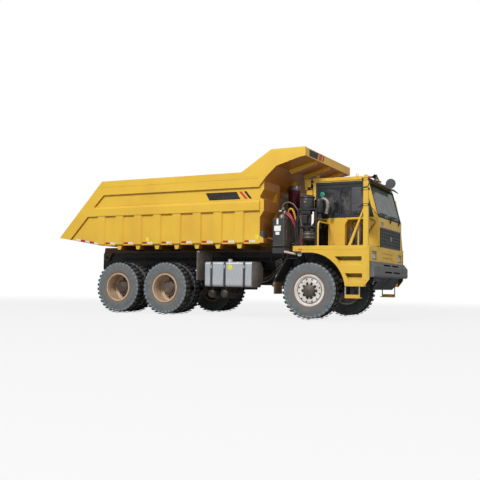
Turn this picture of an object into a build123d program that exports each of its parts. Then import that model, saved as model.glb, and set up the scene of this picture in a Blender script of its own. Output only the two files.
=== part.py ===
"""Wide-body off-road dump truck: three axles, offset cab, rear-tipping bed with a canopy.

Millimetres. X points forward, Y to the truck's left and Z up. The origin is on the ground
under the middle of the truck.
"""

import os
from math import cos, radians, sin

from build123d import *

os.makedirs("parts", exist_ok=True)

# Driving sizes of the whole truck
front_overhang = 1555
wheelbase = 3940
bogie_pitch = 1480
rear_overhang = 2075
side_y = 1550
top_z = 4075
length = front_overhang + wheelbase + bogie_pitch + rear_overhang
front_x = length / 2
front_axle_x = front_x - front_overhang
axle_2_x = front_axle_x - wheelbase
axle_3_x = axle_2_x - bogie_pitch
bogie_x = (axle_2_x + axle_3_x) / 2
nose_face = front_axle_x + 1460

# Wheels and tyres
tyre_r = 685
tyre_width = 375
lug_depth = 30
bead_r = 351
bead_half = 168
lug_count = 18
bore_sides = 12
front_wheel_y = 1340
rear_outer_y = 1462.5
twin_gap = 65
rim_wall = 14
flange_r = 372
flange_t = 8
running_gap = 0.3
body_gap = 5

# Ladder frame
rail_top = 1650
rail_height = 450
rail_outer_y = 450
rail_flange = 90
rail_wall = 12
rail_front = nose_face - 160
rail_rear = axle_3_x - 1440

# Cab and deck
cab_rear = front_axle_x - 190
cab_front = nose_face - 40
cab_right = -780
cab_left = 1360
cab_base = 1750
cab_wall = 60
cab_eaves = 3370
cab_top = cab_eaves + 60
sill_z = 2450
windscreen_top_x = cab_front - 220
windscreen_top_z = cab_eaves - 120
glass_t = 10
deck_top = 1730
deck_t = 80
deck_rear = front_axle_x - 410
deck_front = nose_face - 15
skirt_t = 50
arch_r = 885
arch_z = 690

# Bed
bed_half = 1600
bed_wall = 30
bed_bottom = 1800
bed_floor_t = 60
bed_front = front_axle_x - 1275
bed_kink = axle_3_x - 640
bed_tail = axle_3_x - rear_overhang
bed_tail_z = 2030
bed_top = 3555
canopy_kink = front_axle_x - 1770
canopy_start = front_axle_x - 970
canopy_front = front_axle_x - 80
lip_height = 215
rest_gap = 0.3

# Tipping hinge and hoist
hinge_x = axle_3_x - 1280
hinge_z = 1520
hinge_pin_r = 45
hoist_x = front_axle_x - 1040
hoist_base_z = 1500
hoist_eye_z = 3385

wheel_z = tyre_r
rail_bottom = rail_top - rail_height
rail_inner_y = rail_outer_y - rail_flange
rear_inner_y = rear_outer_y - tyre_width - twin_gap
flap_x = axle_2_x + tyre_r + 255


def block(x, y, z, mode=Mode.ADD):
    """A box between a low and a high value on each axis."""
    with Locations(((x[0] + x[1]) / 2, (y[0] + y[1]) / 2, (z[0] + z[1]) / 2)):
        Box(x[1] - x[0], y[1] - y[0], z[1] - z[0], mode=mode)


def side_plate(points, y, mode=Mode.ADD):
    """A plate with a straight-sided outline in X and Z, between two values of Y."""
    with BuildSketch(Plane.XZ.offset(-y[0])) as outline:
        with BuildLine():
            Polyline(*points, close=True)
        make_face()
    extrude(outline.sketch, amount=-(y[1] - y[0]), mode=mode)


def cross_shaft(x, z, r, y, mode=Mode.ADD):
    """A round bar along Y."""
    with BuildSketch(Plane.XZ.offset(-y[0])) as disc:
        with Locations((x, z)):
            Circle(r)
    extrude(disc.sketch, amount=-(y[1] - y[0]), mode=mode)


def upright(x, y, r, z, mode=Mode.ADD):
    """A round bar along Z."""
    with BuildSketch(Plane.XY.offset(z[0])) as disc:
        with Locations((x, y)):
            Circle(r)
    extrude(disc.sketch, amount=z[1] - z[0], mode=mode)


def long_bar(y, z, r, x, mode=Mode.ADD):
    """A round bar along X."""
    with BuildSketch(Plane.YZ.offset(x[0])) as disc:
        with Locations((y, z)):
            Circle(r)
    extrude(disc.sketch, amount=x[1] - x[0], mode=mode)


def save(piece, name):
    """Label a finished piece and write it as its own file."""
    piece.part.label = name
    export_step(piece.part, f"parts/{name}.step")


# Ladder frame: two channel rails, drilled for the pin that the bed tips on
with BuildPart() as frame:
    for side in (-1, 1):
        rail_y = sorted((side * rail_inner_y, side * rail_outer_y))
        web_y = sorted((side * rail_inner_y, side * (rail_outer_y - rail_wall)))
        block((rail_rear, rail_front), rail_y, (rail_bottom, rail_top))
        block((rail_rear, rail_front), web_y, (rail_bottom + rail_wall, rail_top - rail_wall),
              mode=Mode.SUBTRACT)
        cross_shaft(hinge_x, hinge_z, hinge_pin_r, rail_y, mode=Mode.SUBTRACT)
save(frame, "frame")

# Cross members between the rails, with the hoist's cradle, the tipping pin and the rear beam
member_x = [front_axle_x + 1180, front_axle_x - 1700, axle_2_x + 740, bogie_x, axle_3_x - 680]
member_w = 120
inner_y = rail_outer_y - rail_wall
cheek_near = 200
trunnion_r = 45
hinge_pin_half = 530
tow_reach = 130
tow_half_w = 90
tow_bore_r = 26
tow_z = (rail_bottom + 60, rail_bottom + 120)
with BuildPart() as cross_members:
    for x in member_x:
        block((x - member_w / 2, x + member_w / 2), (-inner_y, inner_y), (rail_bottom + 80, rail_top - 80))
    # Low cradle that the hoist stands on, with a cheek each side of its trunnion
    block((hoist_x - 150, hoist_x + 150), (-inner_y, inner_y), (rail_bottom + rail_wall, rail_bottom + 100))
    for side in (-1, 1):
        cheek_y = sorted((side * cheek_near, side * (cheek_near + 40)))
        block((hoist_x - 90, hoist_x + 90), cheek_y, (rail_bottom + 90, hoist_base_z + 80))
        cross_shaft(hoist_x, hoist_base_z, trunnion_r + 0.1, cheek_y, mode=Mode.SUBTRACT)
    cross_shaft(hinge_x, hinge_z, hinge_pin_r, (-hinge_pin_half, hinge_pin_half))
    # Rear beam with the tow eye
    block((rail_rear, rail_rear + 40), (-rail_inner_y, rail_inner_y), (rail_bottom, rail_bottom + 180))
    block((rail_rear - tow_reach, rail_rear + 10), (-tow_half_w, tow_half_w), tow_z)
    upright(rail_rear - tow_reach + 60, 0, tow_bore_r, tow_z, mode=Mode.SUBTRACT)
save(cross_members, "cross_members")

# Outriggers under the side decks, pads under the cab, and the cast hanger behind each front spring
outrigger_x = (front_axle_x - 290, front_axle_x + 1240)
outrigger_w = 80
stair_depth = 260
outrigger_end = (side_y - skirt_t, side_y - stair_depth)
cab_pad_x = (front_axle_x, cab_front - 180)
cab_pad_w = 90
hanger_outline = [(-1290, 1000), (-1330, 1420), (-1180, 1480), (-1120, 1330), (-880, 1330), (-860, 1020), (-1000, 960)]
with BuildPart() as outriggers:
    for side in (-1, 1):
        for x, end in zip(outrigger_x, outrigger_end):
            block((x - outrigger_w / 2, x + outrigger_w / 2), sorted((side * rail_outer_y, side * end)),
                  (rail_top - outrigger_w, rail_top))
        for x in cab_pad_x:
            block((x - cab_pad_w / 2, x + cab_pad_w / 2),
                  sorted((side * (rail_outer_y - cab_pad_w), side * rail_outer_y)), (rail_top, cab_base))
        hanger_y = sorted((side * rail_outer_y, side * (rail_outer_y + 60)))
        side_plate([(front_axle_x + x, z) for x, z in hanger_outline], hanger_y)
        for x, z in ((-1210, 1150), (-1050, 1210)):
            cross_shaft(front_axle_x + x, z, 28, hanger_y, mode=Mode.SUBTRACT)
save(outriggers, "outriggers")

# Front axle beam with a boss for each kingpin
kingpin_y = 1120
kingpin_r = 35
boss_r = 70
boss_half = 75
beam_half_w = 60
beam_half_h = 55
with BuildPart() as front_axle:
    block((front_axle_x - beam_half_w, front_axle_x + beam_half_w), (-kingpin_y, kingpin_y),
          (wheel_z - beam_half_h, wheel_z + beam_half_h))
    for side in (-1, 1):
        upright(front_axle_x, side * kingpin_y, boss_r, (wheel_z - boss_half, wheel_z + boss_half))
    for side in (-1, 1):
        upright(front_axle_x, side * kingpin_y, kingpin_r + running_gap,
                (wheel_z - boss_half, wheel_z + boss_half), mode=Mode.SUBTRACT)
save(front_axle, "front_axle")

# Steering knuckles: a pin between two lugs, with the stub that the wheel turns on
lug_t = 35
lug_low = boss_half + body_gap
knuckle_plate_y = (kingpin_y + 85, kingpin_y + 120)
stub_r = 60
stub_end_y = front_wheel_y + 90
for side, name in ((1, "knuckle_left"), (-1, "knuckle_right")):
    with BuildPart() as knuckle:
        plate_y = sorted((side * knuckle_plate_y[0], side * knuckle_plate_y[1]))
        block((front_axle_x - 80, front_axle_x + 80), plate_y,
              (wheel_z - lug_low - lug_t, wheel_z + lug_low + lug_t))
        lug_y = sorted((side * (kingpin_y - 60), side * knuckle_plate_y[1]))
        for low in (wheel_z + lug_low, wheel_z - lug_low - lug_t):
            block((front_axle_x - boss_r, front_axle_x + boss_r), lug_y, (low, low + lug_t))
        upright(front_axle_x, side * kingpin_y, kingpin_r,
                (wheel_z - lug_low - lug_t, wheel_z + lug_low + lug_t))
        stub_y = sorted((side * knuckle_plate_y[0], side * stub_end_y))
        cross_shaft(front_axle_x, wheel_z, stub_r, stub_y)
    save(knuckle, name)

# Front leaf springs between the axle beam and the rails, one solid a side
spring_y = (370, 440)
spring_half = 800
spring_seat_z = wheel_z + beam_half_h
spring_rise = 260
leaf_t = 30
leaf_table = [(1.0, 0), (0.75, 1), (0.5, 2)]
with BuildPart() as front_springs:
    for side in (-1, 1):
        for share, step in leaf_table:
            half = spring_half * share
            rise = spring_rise * share ** 2
            low = spring_seat_z + (len(leaf_table) - 1 - step) * leaf_t
            with BuildSketch(Plane.XZ.offset(-min(side * spring_y[0], side * spring_y[1]))):
                with BuildLine():
                    ThreePointArc((front_axle_x - half, low + rise), (front_axle_x, low),
                                  (front_axle_x + half, low + rise))
                    Line((front_axle_x + half, low + rise), (front_axle_x + half, low + rise + leaf_t))
                    ThreePointArc((front_axle_x + half, low + rise + leaf_t), (front_axle_x, low + leaf_t),
                                  (front_axle_x - half, low + rise + leaf_t))
                    Line((front_axle_x - half, low + rise + leaf_t), (front_axle_x - half, low + rise))
                make_face()
            extrude(amount=-(spring_y[1] - spring_y[0]))
        hanger_y = sorted((side * spring_y[0], side * spring_y[1]))
        for end in (-1, 1):
            hanger_x = front_axle_x + end * spring_half
            block((hanger_x - 45, hanger_x + 45), hanger_y, (spring_seat_z + spring_rise, rail_bottom))
save(front_springs, "front_springs")

# Driven rear axles: tube, gear housing, brake drums and the spindles that the hubs turn on
axle_tube_r = 110
housing_r = 260
drum_r = 230
drum_y = (880, 1000)
spindle_r = 80
spindle_end_y = 1400
seat_z = wheel_z + axle_tube_r + 5
nose_r = 80
nose_reach = housing_r + 60
shaft_z = 850
bogie_spring_y = (530, 630)
with BuildPart() as rear_axles:
    for axle_x in (axle_2_x, axle_3_x):
        cross_shaft(axle_x, wheel_z, axle_tube_r, (-drum_y[1], drum_y[1]))
        cross_shaft(axle_x, wheel_z, spindle_r, (-spindle_end_y, spindle_end_y))
        cross_shaft(axle_x, wheel_z, housing_r, (-170, 170))
        nose_low = axle_x - nose_reach if axle_x == axle_2_x else axle_x
        long_bar(0, shaft_z, nose_r, (nose_low, axle_x + nose_reach))
        for side in (-1, 1):
            cross_shaft(axle_x, wheel_z, drum_r, sorted((side * drum_y[0], side * drum_y[1])))
            seat_y = sorted((side * bogie_spring_y[0], side * bogie_spring_y[1]))
            block((axle_x - 80, axle_x + 80), seat_y, (wheel_z, seat_z))
save(rear_axles, "rear_axles")

# Bogie: a spring pack each side rocking on a stub, with its bracket to the rail
bogie_tube_z = 905
bogie_crown = 130
pack_t = 110
with BuildPart() as bogie_springs:
    for side in (-1, 1):
        cross_shaft(bogie_x, bogie_tube_z - 40, 70, sorted((side * rail_outer_y, side * (bogie_spring_y[1] + 20))))
        pack_y = sorted((side * bogie_spring_y[0], side * bogie_spring_y[1]))
        reach = bogie_pitch / 2 + 80
        with BuildSketch(Plane.XZ.offset(-pack_y[0])):
            with BuildLine():
                Polyline((bogie_x - reach, seat_z), (bogie_x - reach, seat_z + 40),
                         (bogie_x - 160, seat_z + bogie_crown + pack_t),
                         (bogie_x + 160, seat_z + bogie_crown + pack_t),
                         (bogie_x + reach, seat_z + 40), (bogie_x + reach, seat_z),
                         (bogie_x + reach - 160, seat_z), (bogie_x + 160, seat_z + bogie_crown),
                         (bogie_x - 160, seat_z + bogie_crown), (bogie_x - reach + 160, seat_z), close=True)
            make_face()
        extrude(amount=-(pack_y[1] - pack_y[0]))
        block((bogie_x - 110, bogie_x + 110), pack_y, (bogie_tube_z - 40, seat_z + bogie_crown + 10))
        bracket_y = sorted((side * rail_outer_y, side * (rail_outer_y + 60)))
        side_plate([(bogie_x - 110, bogie_tube_z - 110), (bogie_x + 110, bogie_tube_z - 110),
                    (bogie_x + 220, rail_bottom + 180), (bogie_x - 220, rail_bottom + 180)], bracket_y)
save(bogie_springs, "bogie_springs")

# Propeller shafts from the gearbox to the first rear axle, and on to the second
shaft_r = 55
joint_r = shaft_r + 25
joint_half = 45
gearbox_x = (front_axle_x - 1550, front_axle_x - 750)
gearbox_z = (780, 1180)
shaft_ends = [(axle_2_x + nose_reach, gearbox_x[0]), (axle_3_x + nose_reach, axle_2_x - nose_reach)]
with BuildPart() as drive_shafts:
    for start, end in shaft_ends:
        long_bar(0, shaft_z, shaft_r, (start, end))
        for x in (start + joint_half, end - joint_half):
            long_bar(0, shaft_z, joint_r, (x - joint_half, x + joint_half))
save(drive_shafts, "drive_shafts")

# Engine and gearbox, as plain heavy blocks between the rails
with BuildPart() as engine:
    block((front_axle_x - 750, front_axle_x + 650), (-320, 320), (1000, 1700))
    for x in (front_axle_x - 600, front_axle_x + 500):
        block((x - 60, x + 60), (-inner_y, inner_y), (rail_bottom + 100, rail_bottom + 200))
    block(gearbox_x, (-210, 210), gearbox_z)
    block((gearbox_x[1] - 120, gearbox_x[1] + 10), (-260, 260), (gearbox_z[0] + 150, gearbox_z[1] + 100))
save(engine, "engine")

# Fuel tank on the right: rounded on its near side, with its inner corners cut
tank_x = (flap_x + 240, front_axle_x - 1465)
tank_y = (-1600, -950)
tank_z = (740, 1360)
tank_fillet = 60
tank_cut = 150
filler_x = tank_x[0] + 593
with BuildPart() as fuel_tank:
    with BuildSketch(Plane.YZ.offset(tank_x[0])):
        with BuildLine():
            Polyline((tank_y[0], tank_z[0]), (tank_y[0], tank_z[1]), (tank_y[1] - tank_cut, tank_z[1]),
                     (tank_y[1], tank_z[1] - tank_cut), (tank_y[1], tank_z[0] + tank_cut),
                     (tank_y[1] - tank_cut, tank_z[0]), close=True)
        make_face()
    extrude(amount=tank_x[1] - tank_x[0])
    fillet(fuel_tank.faces().sort_by(Axis.Y)[0].edges().filter_by(Axis.X), tank_fillet)
    upright(filler_x, tank_y[0] + 220, 55, (tank_z[1] - 5, tank_z[1] + 60))
save(fuel_tank, "fuel_tank")

# Brackets that carry the tank, with two air tanks hung on a bar under them
strap_x = (tank_x[0] + 180, tank_x[0] + 550, tank_x[1] - 205)
strap_w = 60
bracket_t = 60
bracket_top = tank_z[1] + 40
air_r = 110
air_z = tank_z[0] - bracket_t - air_r
air_x = (strap_x[0] - 60, strap_x[1] - 70)
hang_y = (tank_y[1] - 150, tank_y[1] - 70)
with BuildPart() as tank_brackets:
    for x in strap_x:
        band = (x - strap_w / 2, x + strap_w / 2)
        block(band, (tank_y[1], tank_y[1] + bracket_t), (tank_z[0] - bracket_t, bracket_top))
        block(band, (tank_y[0] + 100, tank_y[1] + bracket_t), (tank_z[0] - bracket_t, tank_z[0]))
        block(band, (tank_y[1], -rail_outer_y), (rail_bottom + 40, bracket_top))
    block((air_x[0] - 40, strap_x[1] + 30), hang_y, (tank_z[0] - bracket_t - 25, tank_z[0] - 50))
    for x in air_x:
        cross_shaft(x, air_z, air_r, (-1450, -700))
save(tank_brackets, "tank_brackets")

# Battery box and silencer on the left
with BuildPart() as battery_box:
    block((front_axle_x - 2000, front_axle_x - 1350), (900, 1540), (800, 1330))
    block((front_axle_x - 1900, front_axle_x - 1450), (rail_outer_y, 900), (1210, 1300))
save(battery_box, "battery_box")

with BuildPart() as silencer:
    long_bar(1180, 1060, 260, (front_axle_x - 2800, front_axle_x - 2080))
    for x in (front_axle_x - 2680, front_axle_x - 2200):
        block((x - 40, x + 40), (rail_outer_y, 1180), (1220, 1310))
save(silencer, "silencer")

# Hydraulic tank on its outrigger, behind the cab on the right
oil_x = (front_axle_x - 1000, front_axle_x - 710)
oil_y = (-1450, -700)
oil_z = (1740, 2410)
with BuildPart() as hydraulic_tank:
    block(oil_x, oil_y, oil_z)
    fillet(hydraulic_tank.edges().filter_by(Axis.Z), 40)
    upright((oil_x[0] + oil_x[1]) / 2, -1180, 70, (oil_z[1] - 5, oil_z[1] + 100))
    block((oil_x[0] + 30, oil_x[1] - 30), (oil_y[0] + 60, oil_y[1] - 60), (1700, oil_z[0]))
    block(oil_x, (oil_y[0] + 30, -rail_outer_y), (1570, 1700))
save(hydraulic_tank, "hydraulic_tank")

# Air cleaner stack standing on the deck, with its intake head
cleaner_x = front_axle_x - 190
cleaner_y = -1200
intake_x = front_axle_x + 45
intake_y = -1000
with BuildPart() as air_cleaner:
    with BuildSketch(Plane.XZ.offset(-cleaner_y)):
        with BuildLine():
            Polyline((cleaner_x, deck_top), (cleaner_x + 80, deck_top), (cleaner_x + 150, 1890),
                     (cleaner_x + 150, 2105), (cleaner_x + 85, 2170), (cleaner_x + 100, 2340),
                     (cleaner_x + 85, 2560), (cleaner_x + 165, 2650), (cleaner_x + 165, 2890),
                     (cleaner_x + 188, 2905), (cleaner_x + 120, 2965), (cleaner_x, 2982), close=True)
        make_face()
    revolve(axis=Axis((cleaner_x, cleaner_y, 0), (0, 0, 1)))
    upright(intake_x, intake_y, 122, (2545, 2900))
    upright(intake_x, intake_y, 60, (2250, 2545))
    block((cleaner_x, intake_x), (intake_y - 60, intake_y), (2250, 2370))
    block((cleaner_x - 60, cleaner_x + 60), (cleaner_y, intake_y), (2250, 2370))
save(air_cleaner, "air_cleaner")

# Front bumper: a folded plate box, open at the back, with slots to step in
bumper_t = 15
bumper_z = (1020, 1380)
bumper_slope = 120
front_half = side_y - skirt_t - body_gap
slot_y = [(-625, -15), (120, 715)]
tow_pin_y = (-1200, 950)
slot_z = [(1120, 1160), (1285, 1325)]
guard_low = 725
with BuildPart() as front_bumper:
    side_plate([(rail_front, bumper_z[1]), (nose_face, bumper_z[1]), (front_x, bumper_z[1] - bumper_slope),
                (front_x, bumper_z[0] + 40), (front_x - 30, bumper_z[0]), (rail_front, bumper_z[0])],
               (-front_half, front_half))
    side_plate([(rail_front, bumper_z[1] - bumper_t), (nose_face - 5, bumper_z[1] - bumper_t),
                (front_x - bumper_t, bumper_z[1] - bumper_slope - 5), (front_x - bumper_t, bumper_z[0] + 45),
                (front_x - bumper_t - 20, bumper_z[0] + bumper_t), (rail_front, bumper_z[0] + bumper_t)],
               (-front_half + bumper_t, front_half - bumper_t), mode=Mode.SUBTRACT)
    for y in slot_y:
        for z in slot_z:
            block((nose_face - 20, front_x + 1), y, z, mode=Mode.SUBTRACT)
    for y in tow_pin_y:
        block((front_x - bumper_t - 1, front_x + 1), (y - 30, y + 30), (1170, 1250), mode=Mode.SUBTRACT)
    for side in (-1, 1):
        end_y = sorted((side * rail_inner_y, side * rail_outer_y))
        block((rail_front, front_x - bumper_t), end_y, (rail_bottom, bumper_z[1] - bumper_slope - bumper_t))
    # Sump guard that hangs under the bumper
    side_plate([(rail_front + 20, bumper_z[0]), (nose_face - 40, bumper_z[0]), (nose_face - 230, guard_low),
                (nose_face - 260, guard_low)], (-600, 1200))
    block((rail_front - 60, rail_front + 160), (-1250, -600), (920, bumper_z[0] + 5))
save(front_bumper, "front_bumper")

# Nose panel above the bumper, with pockets for the headlamps and four slots; it ends at the cab's left side
nose_x = (nose_face - 75, nose_face - 5)
nose_y = (-front_half, cab_left - 10)
nose_z = (bumper_z[1], deck_top - deck_t)
lamp_z = (1420, 1610)
lamp_y = [(-1360, -1010), (920, 1230)]
nose_slot_y = [(-494, -130), (-77, 360)]
with BuildPart() as nose_panel:
    block(nose_x, nose_y, nose_z)
    for y in lamp_y:
        block((nose_x[0] + 20, nose_x[1]), y, lamp_z, mode=Mode.SUBTRACT)
    for y in nose_slot_y:
        for z in (1440, 1540):
            block((nose_x[1] - 20, nose_x[1]), y, (z, z + 55), mode=Mode.SUBTRACT)
    # Strip that closes the gap under the cab's front
    block(nose_x, (cab_right + 5, cab_left - 10), (nose_z[1], deck_top))
    for side in (-1, 1):
        end_y = sorted((side * rail_inner_y, side * rail_outer_y))
        block((rail_front, nose_x[0]), end_y, (bumper_z[1], nose_z[1]))
save(nose_panel, "nose_panel")

lamp_gap = 6
with BuildPart() as headlamps:
    for y in lamp_y:
        block((nose_x[0] + 20, nose_x[1] - 4), (y[0] + lamp_gap, y[1] - lamp_gap),
              (lamp_z[0] + lamp_gap, lamp_z[1] - lamp_gap))
save(headlamps, "headlamps")

# Side decks: a skirt with the wheel arch and two step recesses, the deck plate and the arch liner
skirt_low = 800
recess_table = [
    # rear x, low z, front x, high z, from the front axle and the ground; run of the sloping rear end
    (635, 1280, 1270, 1480, 155),
    (875, 906, 1282, 1095, 105),
]
step_x = (front_axle_x + 870, front_axle_x + 1220)
step_low = 530
step_t = 20
step_lip = 82
stair_front = rail_front - body_gap
deck_table = [
    # side, inner y, front x, name
    (-1, cab_right, deck_front, "right_deck"),
    (1, cab_left, deck_front - 20, "left_deck"),
]
for side, deck_inner, end_x, name in deck_table:
    outer_y = sorted((side * side_y, side * (side_y - skirt_t)))
    stair_y = sorted((side * side_y, side * (side_y - stair_depth)))
    pocket_y = sorted((side * side_y, side * (side_y - stair_depth + skirt_t)))
    plate_y = sorted((side * side_y, side * abs(deck_inner)))
    foot_x = front_axle_x + (arch_r ** 2 - (arch_z - skirt_low) ** 2) ** 0.5
    crown = (front_axle_x, arch_z + arch_r)
    mid_arch = (front_axle_x + arch_r * cos(radians(45)), arch_z + arch_r * sin(radians(45)))
    with BuildPart() as deck:
        with BuildSketch(Plane.XZ.offset(-outer_y[0])):
            with BuildLine():
                Polyline((foot_x, skirt_low), (end_x - 125, skirt_low), (end_x, 966),
                         (end_x, deck_top), (deck_rear, deck_top), (deck_rear, 1605),
                         (front_axle_x - 200, 1605), (front_axle_x - 200, crown[1]), crown)
                ThreePointArc(crown, mid_arch, (foot_x, skirt_low))
            make_face()
        extrude(amount=-skirt_t)
        block((deck_rear, end_x), plate_y, (deck_top - deck_t, deck_top))
        # Stair box behind the skirt, between the arch and the front
        with BuildSketch(Plane.XZ.offset(-stair_y[0])):
            with BuildLine():
                start = (front_axle_x + arch_r * cos(radians(50)), arch_z + arch_r * sin(radians(50)))
                middle = (front_axle_x + arch_r * cos(radians(28)), arch_z + arch_r * sin(radians(28)))
                Polyline((foot_x, skirt_low), (stair_front, skirt_low), (stair_front, deck_top - deck_t),
                         (start[0], deck_top - deck_t), start)
                ThreePointArc(start, middle, (foot_x, skirt_low))
            make_face()
        extrude(amount=-stair_depth)
        for x0, z0, x1, z1, run in recess_table:
            side_plate([(front_axle_x + x0, z1), (front_axle_x + x0 + run, z0), (front_axle_x + x1, z0),
                        (front_axle_x + x1, z1)], pocket_y, mode=Mode.SUBTRACT)
        # Step hanging under the skirt
        step_y = sorted((side * (side_y - 25), side * (side_y - 225)))
        block(step_x, step_y, (step_low, step_low + step_t))
        block(step_x, sorted((side * (side_y - 25), side * (side_y - 37))), (step_low, step_low + step_lip))
        for x in (step_x[0], step_x[1] - step_t):
            block((x, x + step_t), sorted((side * (side_y - 25), side * (side_y - 60))), (step_low, skirt_low + 5))
    save(deck, name)

# Mudguards behind the front wheels and the flaps ahead of the rear wheels
guard_outline = [(-300, 1433), (-570, 1433), (-890, 886), (-910, 886), (-582, 1445), (-300, 1445)]
with BuildPart() as mudguards:
    for side in (-1, 1):
        guard_y = sorted((side * (side_y - 10), side * 1000))
        side_plate([(front_axle_x + x, z) for x, z in guard_outline], guard_y)
        block((front_axle_x + guard_outline[3][0] + 3, front_axle_x + guard_outline[3][0] + 15),
              sorted((side * (side_y - 30), side * 1050)), (590, guard_outline[3][1] + 5))
        block((front_axle_x - 720, front_axle_x - 640), sorted((side * 1100, side * rail_outer_y)), (1240, 1300))
        flap_y = sorted((side * bed_half, side * 850))
        block((flap_x - 12, flap_x), flap_y, (900, rail_top - 10))
        block((flap_x, flap_x + 50), sorted((side * (bed_half - 20), side * rail_outer_y)),
              (rail_top - 60, rail_top - 10))
save(mudguards, "mudguards")

# Handrails on the decks, and the corner post with its brace, which carries the mirrors
rail_tube_r = 19
rail_y = side_y - 50
gate_x = front_axle_x + 200
gate_top = 2310
post_x = (front_axle_x + 1300, front_axle_x + 1410)
post_y = (-side_y + 10, -side_y + 90)
post_top = 3335
far_rail = [(deck_front - 42, deck_top), (deck_front - 105, 2500), (deck_front - 230, 3080)]
far_mirror_x = (front_axle_x + 1025, front_axle_x + 1190)
mirror_arm_z = (3000, 2640)
with BuildPart() as handrails:
    block(post_x, post_y, (deck_top, post_top))
    fillet(handrails.faces().sort_by(Axis.Z)[-1].edges().filter_by(Axis.Y), 50)
    side_plate([(front_axle_x + 940, deck_top), (front_axle_x + 1000, deck_top), (post_x[0] + 10, 2540),
                (post_x[0] + 10, 2620)], (post_y[0] + 10, post_y[1] - 10))
    with BuildLine():
        FilletPolyline((gate_x, -rail_y, deck_top), (gate_x, -rail_y, gate_top), (gate_x, cab_right, gate_top),
                       radius=120)
    with BuildSketch(Plane.XY.offset(deck_top)):
        with Locations((gate_x, -rail_y)):
            Circle(rail_tube_r)
    sweep()
    upright(front_axle_x + 1160, -rail_y + 60, rail_tube_r, (deck_top, 2300))
    with BuildLine():
        FilletPolyline(*[(x, rail_y, z) for x, z in far_rail], radius=200)
    with BuildSketch(Plane.XY.offset(deck_top)):
        with Locations((far_rail[0][0], rail_y)):
            Circle(rail_tube_r)
    sweep()
    upright(front_axle_x + 60, rail_y, rail_tube_r, (deck_top, 2500))
    for z, reach in zip(mirror_arm_z, (deck_front - 215, deck_front - 135)):
        block((far_mirror_x[1], reach), (rail_y - 12, rail_y + 12), (z, z + 24))
save(handrails, "handrails")

# Cab: floor, walls, front and roof, each a panel of its own with its windows cut
slope = (cab_front - windscreen_top_x) / (windscreen_top_z - sill_z)
cab_side_outline = [(cab_rear, cab_base), (cab_front, cab_base), (cab_front, sill_z),
                    (windscreen_top_x, windscreen_top_z), (windscreen_top_x - 50, cab_eaves), (cab_rear, cab_eaves)]
pillar = 95
window_z = (2460, cab_eaves - 80)
window_front_low = cab_front - 130
window_front_high = window_front_low - slope * (window_z[1] - window_z[0])
side_window = [(cab_rear + pillar, window_z[0]), (window_front_low, window_z[0]),
               (window_front_high, window_z[1]), (cab_rear + pillar, window_z[1])]

# On the right the cab is cut away low down: a notch at the rear corner and an alcove ahead of it
cut_top = 2400
inner_t = 30
notch_x = cab_rear + 380
notch_y = cab_right + 600
alcove_x = (front_axle_x + 610, front_axle_x + 1200)
alcove_y = cab_right + 250
floor_top = cab_base + cab_wall
inside_y = cab_right + cab_wall

with BuildPart() as cab_floor:
    block((cab_rear + cab_wall, cab_front - cab_wall), (inside_y, cab_left - cab_wall), (cab_base, floor_top))
    block((cab_rear + cab_wall, notch_x + inner_t), (inside_y, notch_y + inner_t), (cab_base, floor_top),
          mode=Mode.SUBTRACT)
save(cab_floor, "cab_floor")

with BuildPart() as cab_right_side:
    side_plate(cab_side_outline, (cab_right, inside_y))
    side_plate(side_window, (cab_right, inside_y), mode=Mode.SUBTRACT)
    side_plate([(cab_rear, cab_base), (cab_rear, cut_top), (notch_x - 60, cut_top), (notch_x, cut_top - 130),
                (notch_x, cab_base)], (cab_right, inside_y), mode=Mode.SUBTRACT)
    side_plate([(alcove_x[0], cab_base), (alcove_x[0], cut_top - 110), (alcove_x[0] + 80, cut_top),
                (alcove_x[1], cut_top), (alcove_x[1], cab_base)], (cab_right, inside_y), mode=Mode.SUBTRACT)
    # Panels that line the notch
    block((cab_rear + cab_wall, notch_x + inner_t), (inside_y, notch_y + inner_t), (cut_top, cut_top + inner_t))
    block((notch_x, notch_x + inner_t), (inside_y, notch_y + inner_t), (cab_base, cut_top))
    block((cab_rear + cab_wall, notch_x), (notch_y, notch_y + inner_t), (cab_base, cut_top))
    # Panels that line the alcove
    alcove_band = (alcove_x[0] - inner_t, alcove_x[1] + inner_t)
    block(alcove_band, (inside_y, alcove_y + inner_t), (cut_top, cut_top + inner_t))
    block(alcove_band, (alcove_y, alcove_y + inner_t), (floor_top, cut_top))
    for x in (alcove_band[0], alcove_x[1]):
        block((x, x + inner_t), (inside_y, alcove_y), (floor_top, cut_top))
save(cab_right_side, "cab_right_side")

# Left side with the doorway; the door fills it with a gap all round
door_x = (front_axle_x + 150, front_axle_x + 1080)
door_z = (1830, cab_eaves - 60)
door_gap = 6
door_hinge_x = door_x[1] + 20
door_hinge_y = cab_left + 18
door_hinge_z = (1980, door_z[1] - 150)
door_pin_r = 8
knuckle_r = 14
knuckle_half = 20
with BuildPart() as cab_left_side:
    side_plate(cab_side_outline, (cab_left - cab_wall, cab_left))
    block(door_x, (cab_left - cab_wall, cab_left), door_z, mode=Mode.SUBTRACT)
    for z in door_hinge_z:
        for low in (z - 45, z + knuckle_half + 2):
            block((door_hinge_x - knuckle_r, door_hinge_x + knuckle_r), (cab_left, door_hinge_y + knuckle_r),
                  (low, low + 23))
        upright(door_hinge_x, door_hinge_y, door_pin_r, (z - 40, z + 40))
save(cab_left_side, "cab_left_side")

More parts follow.
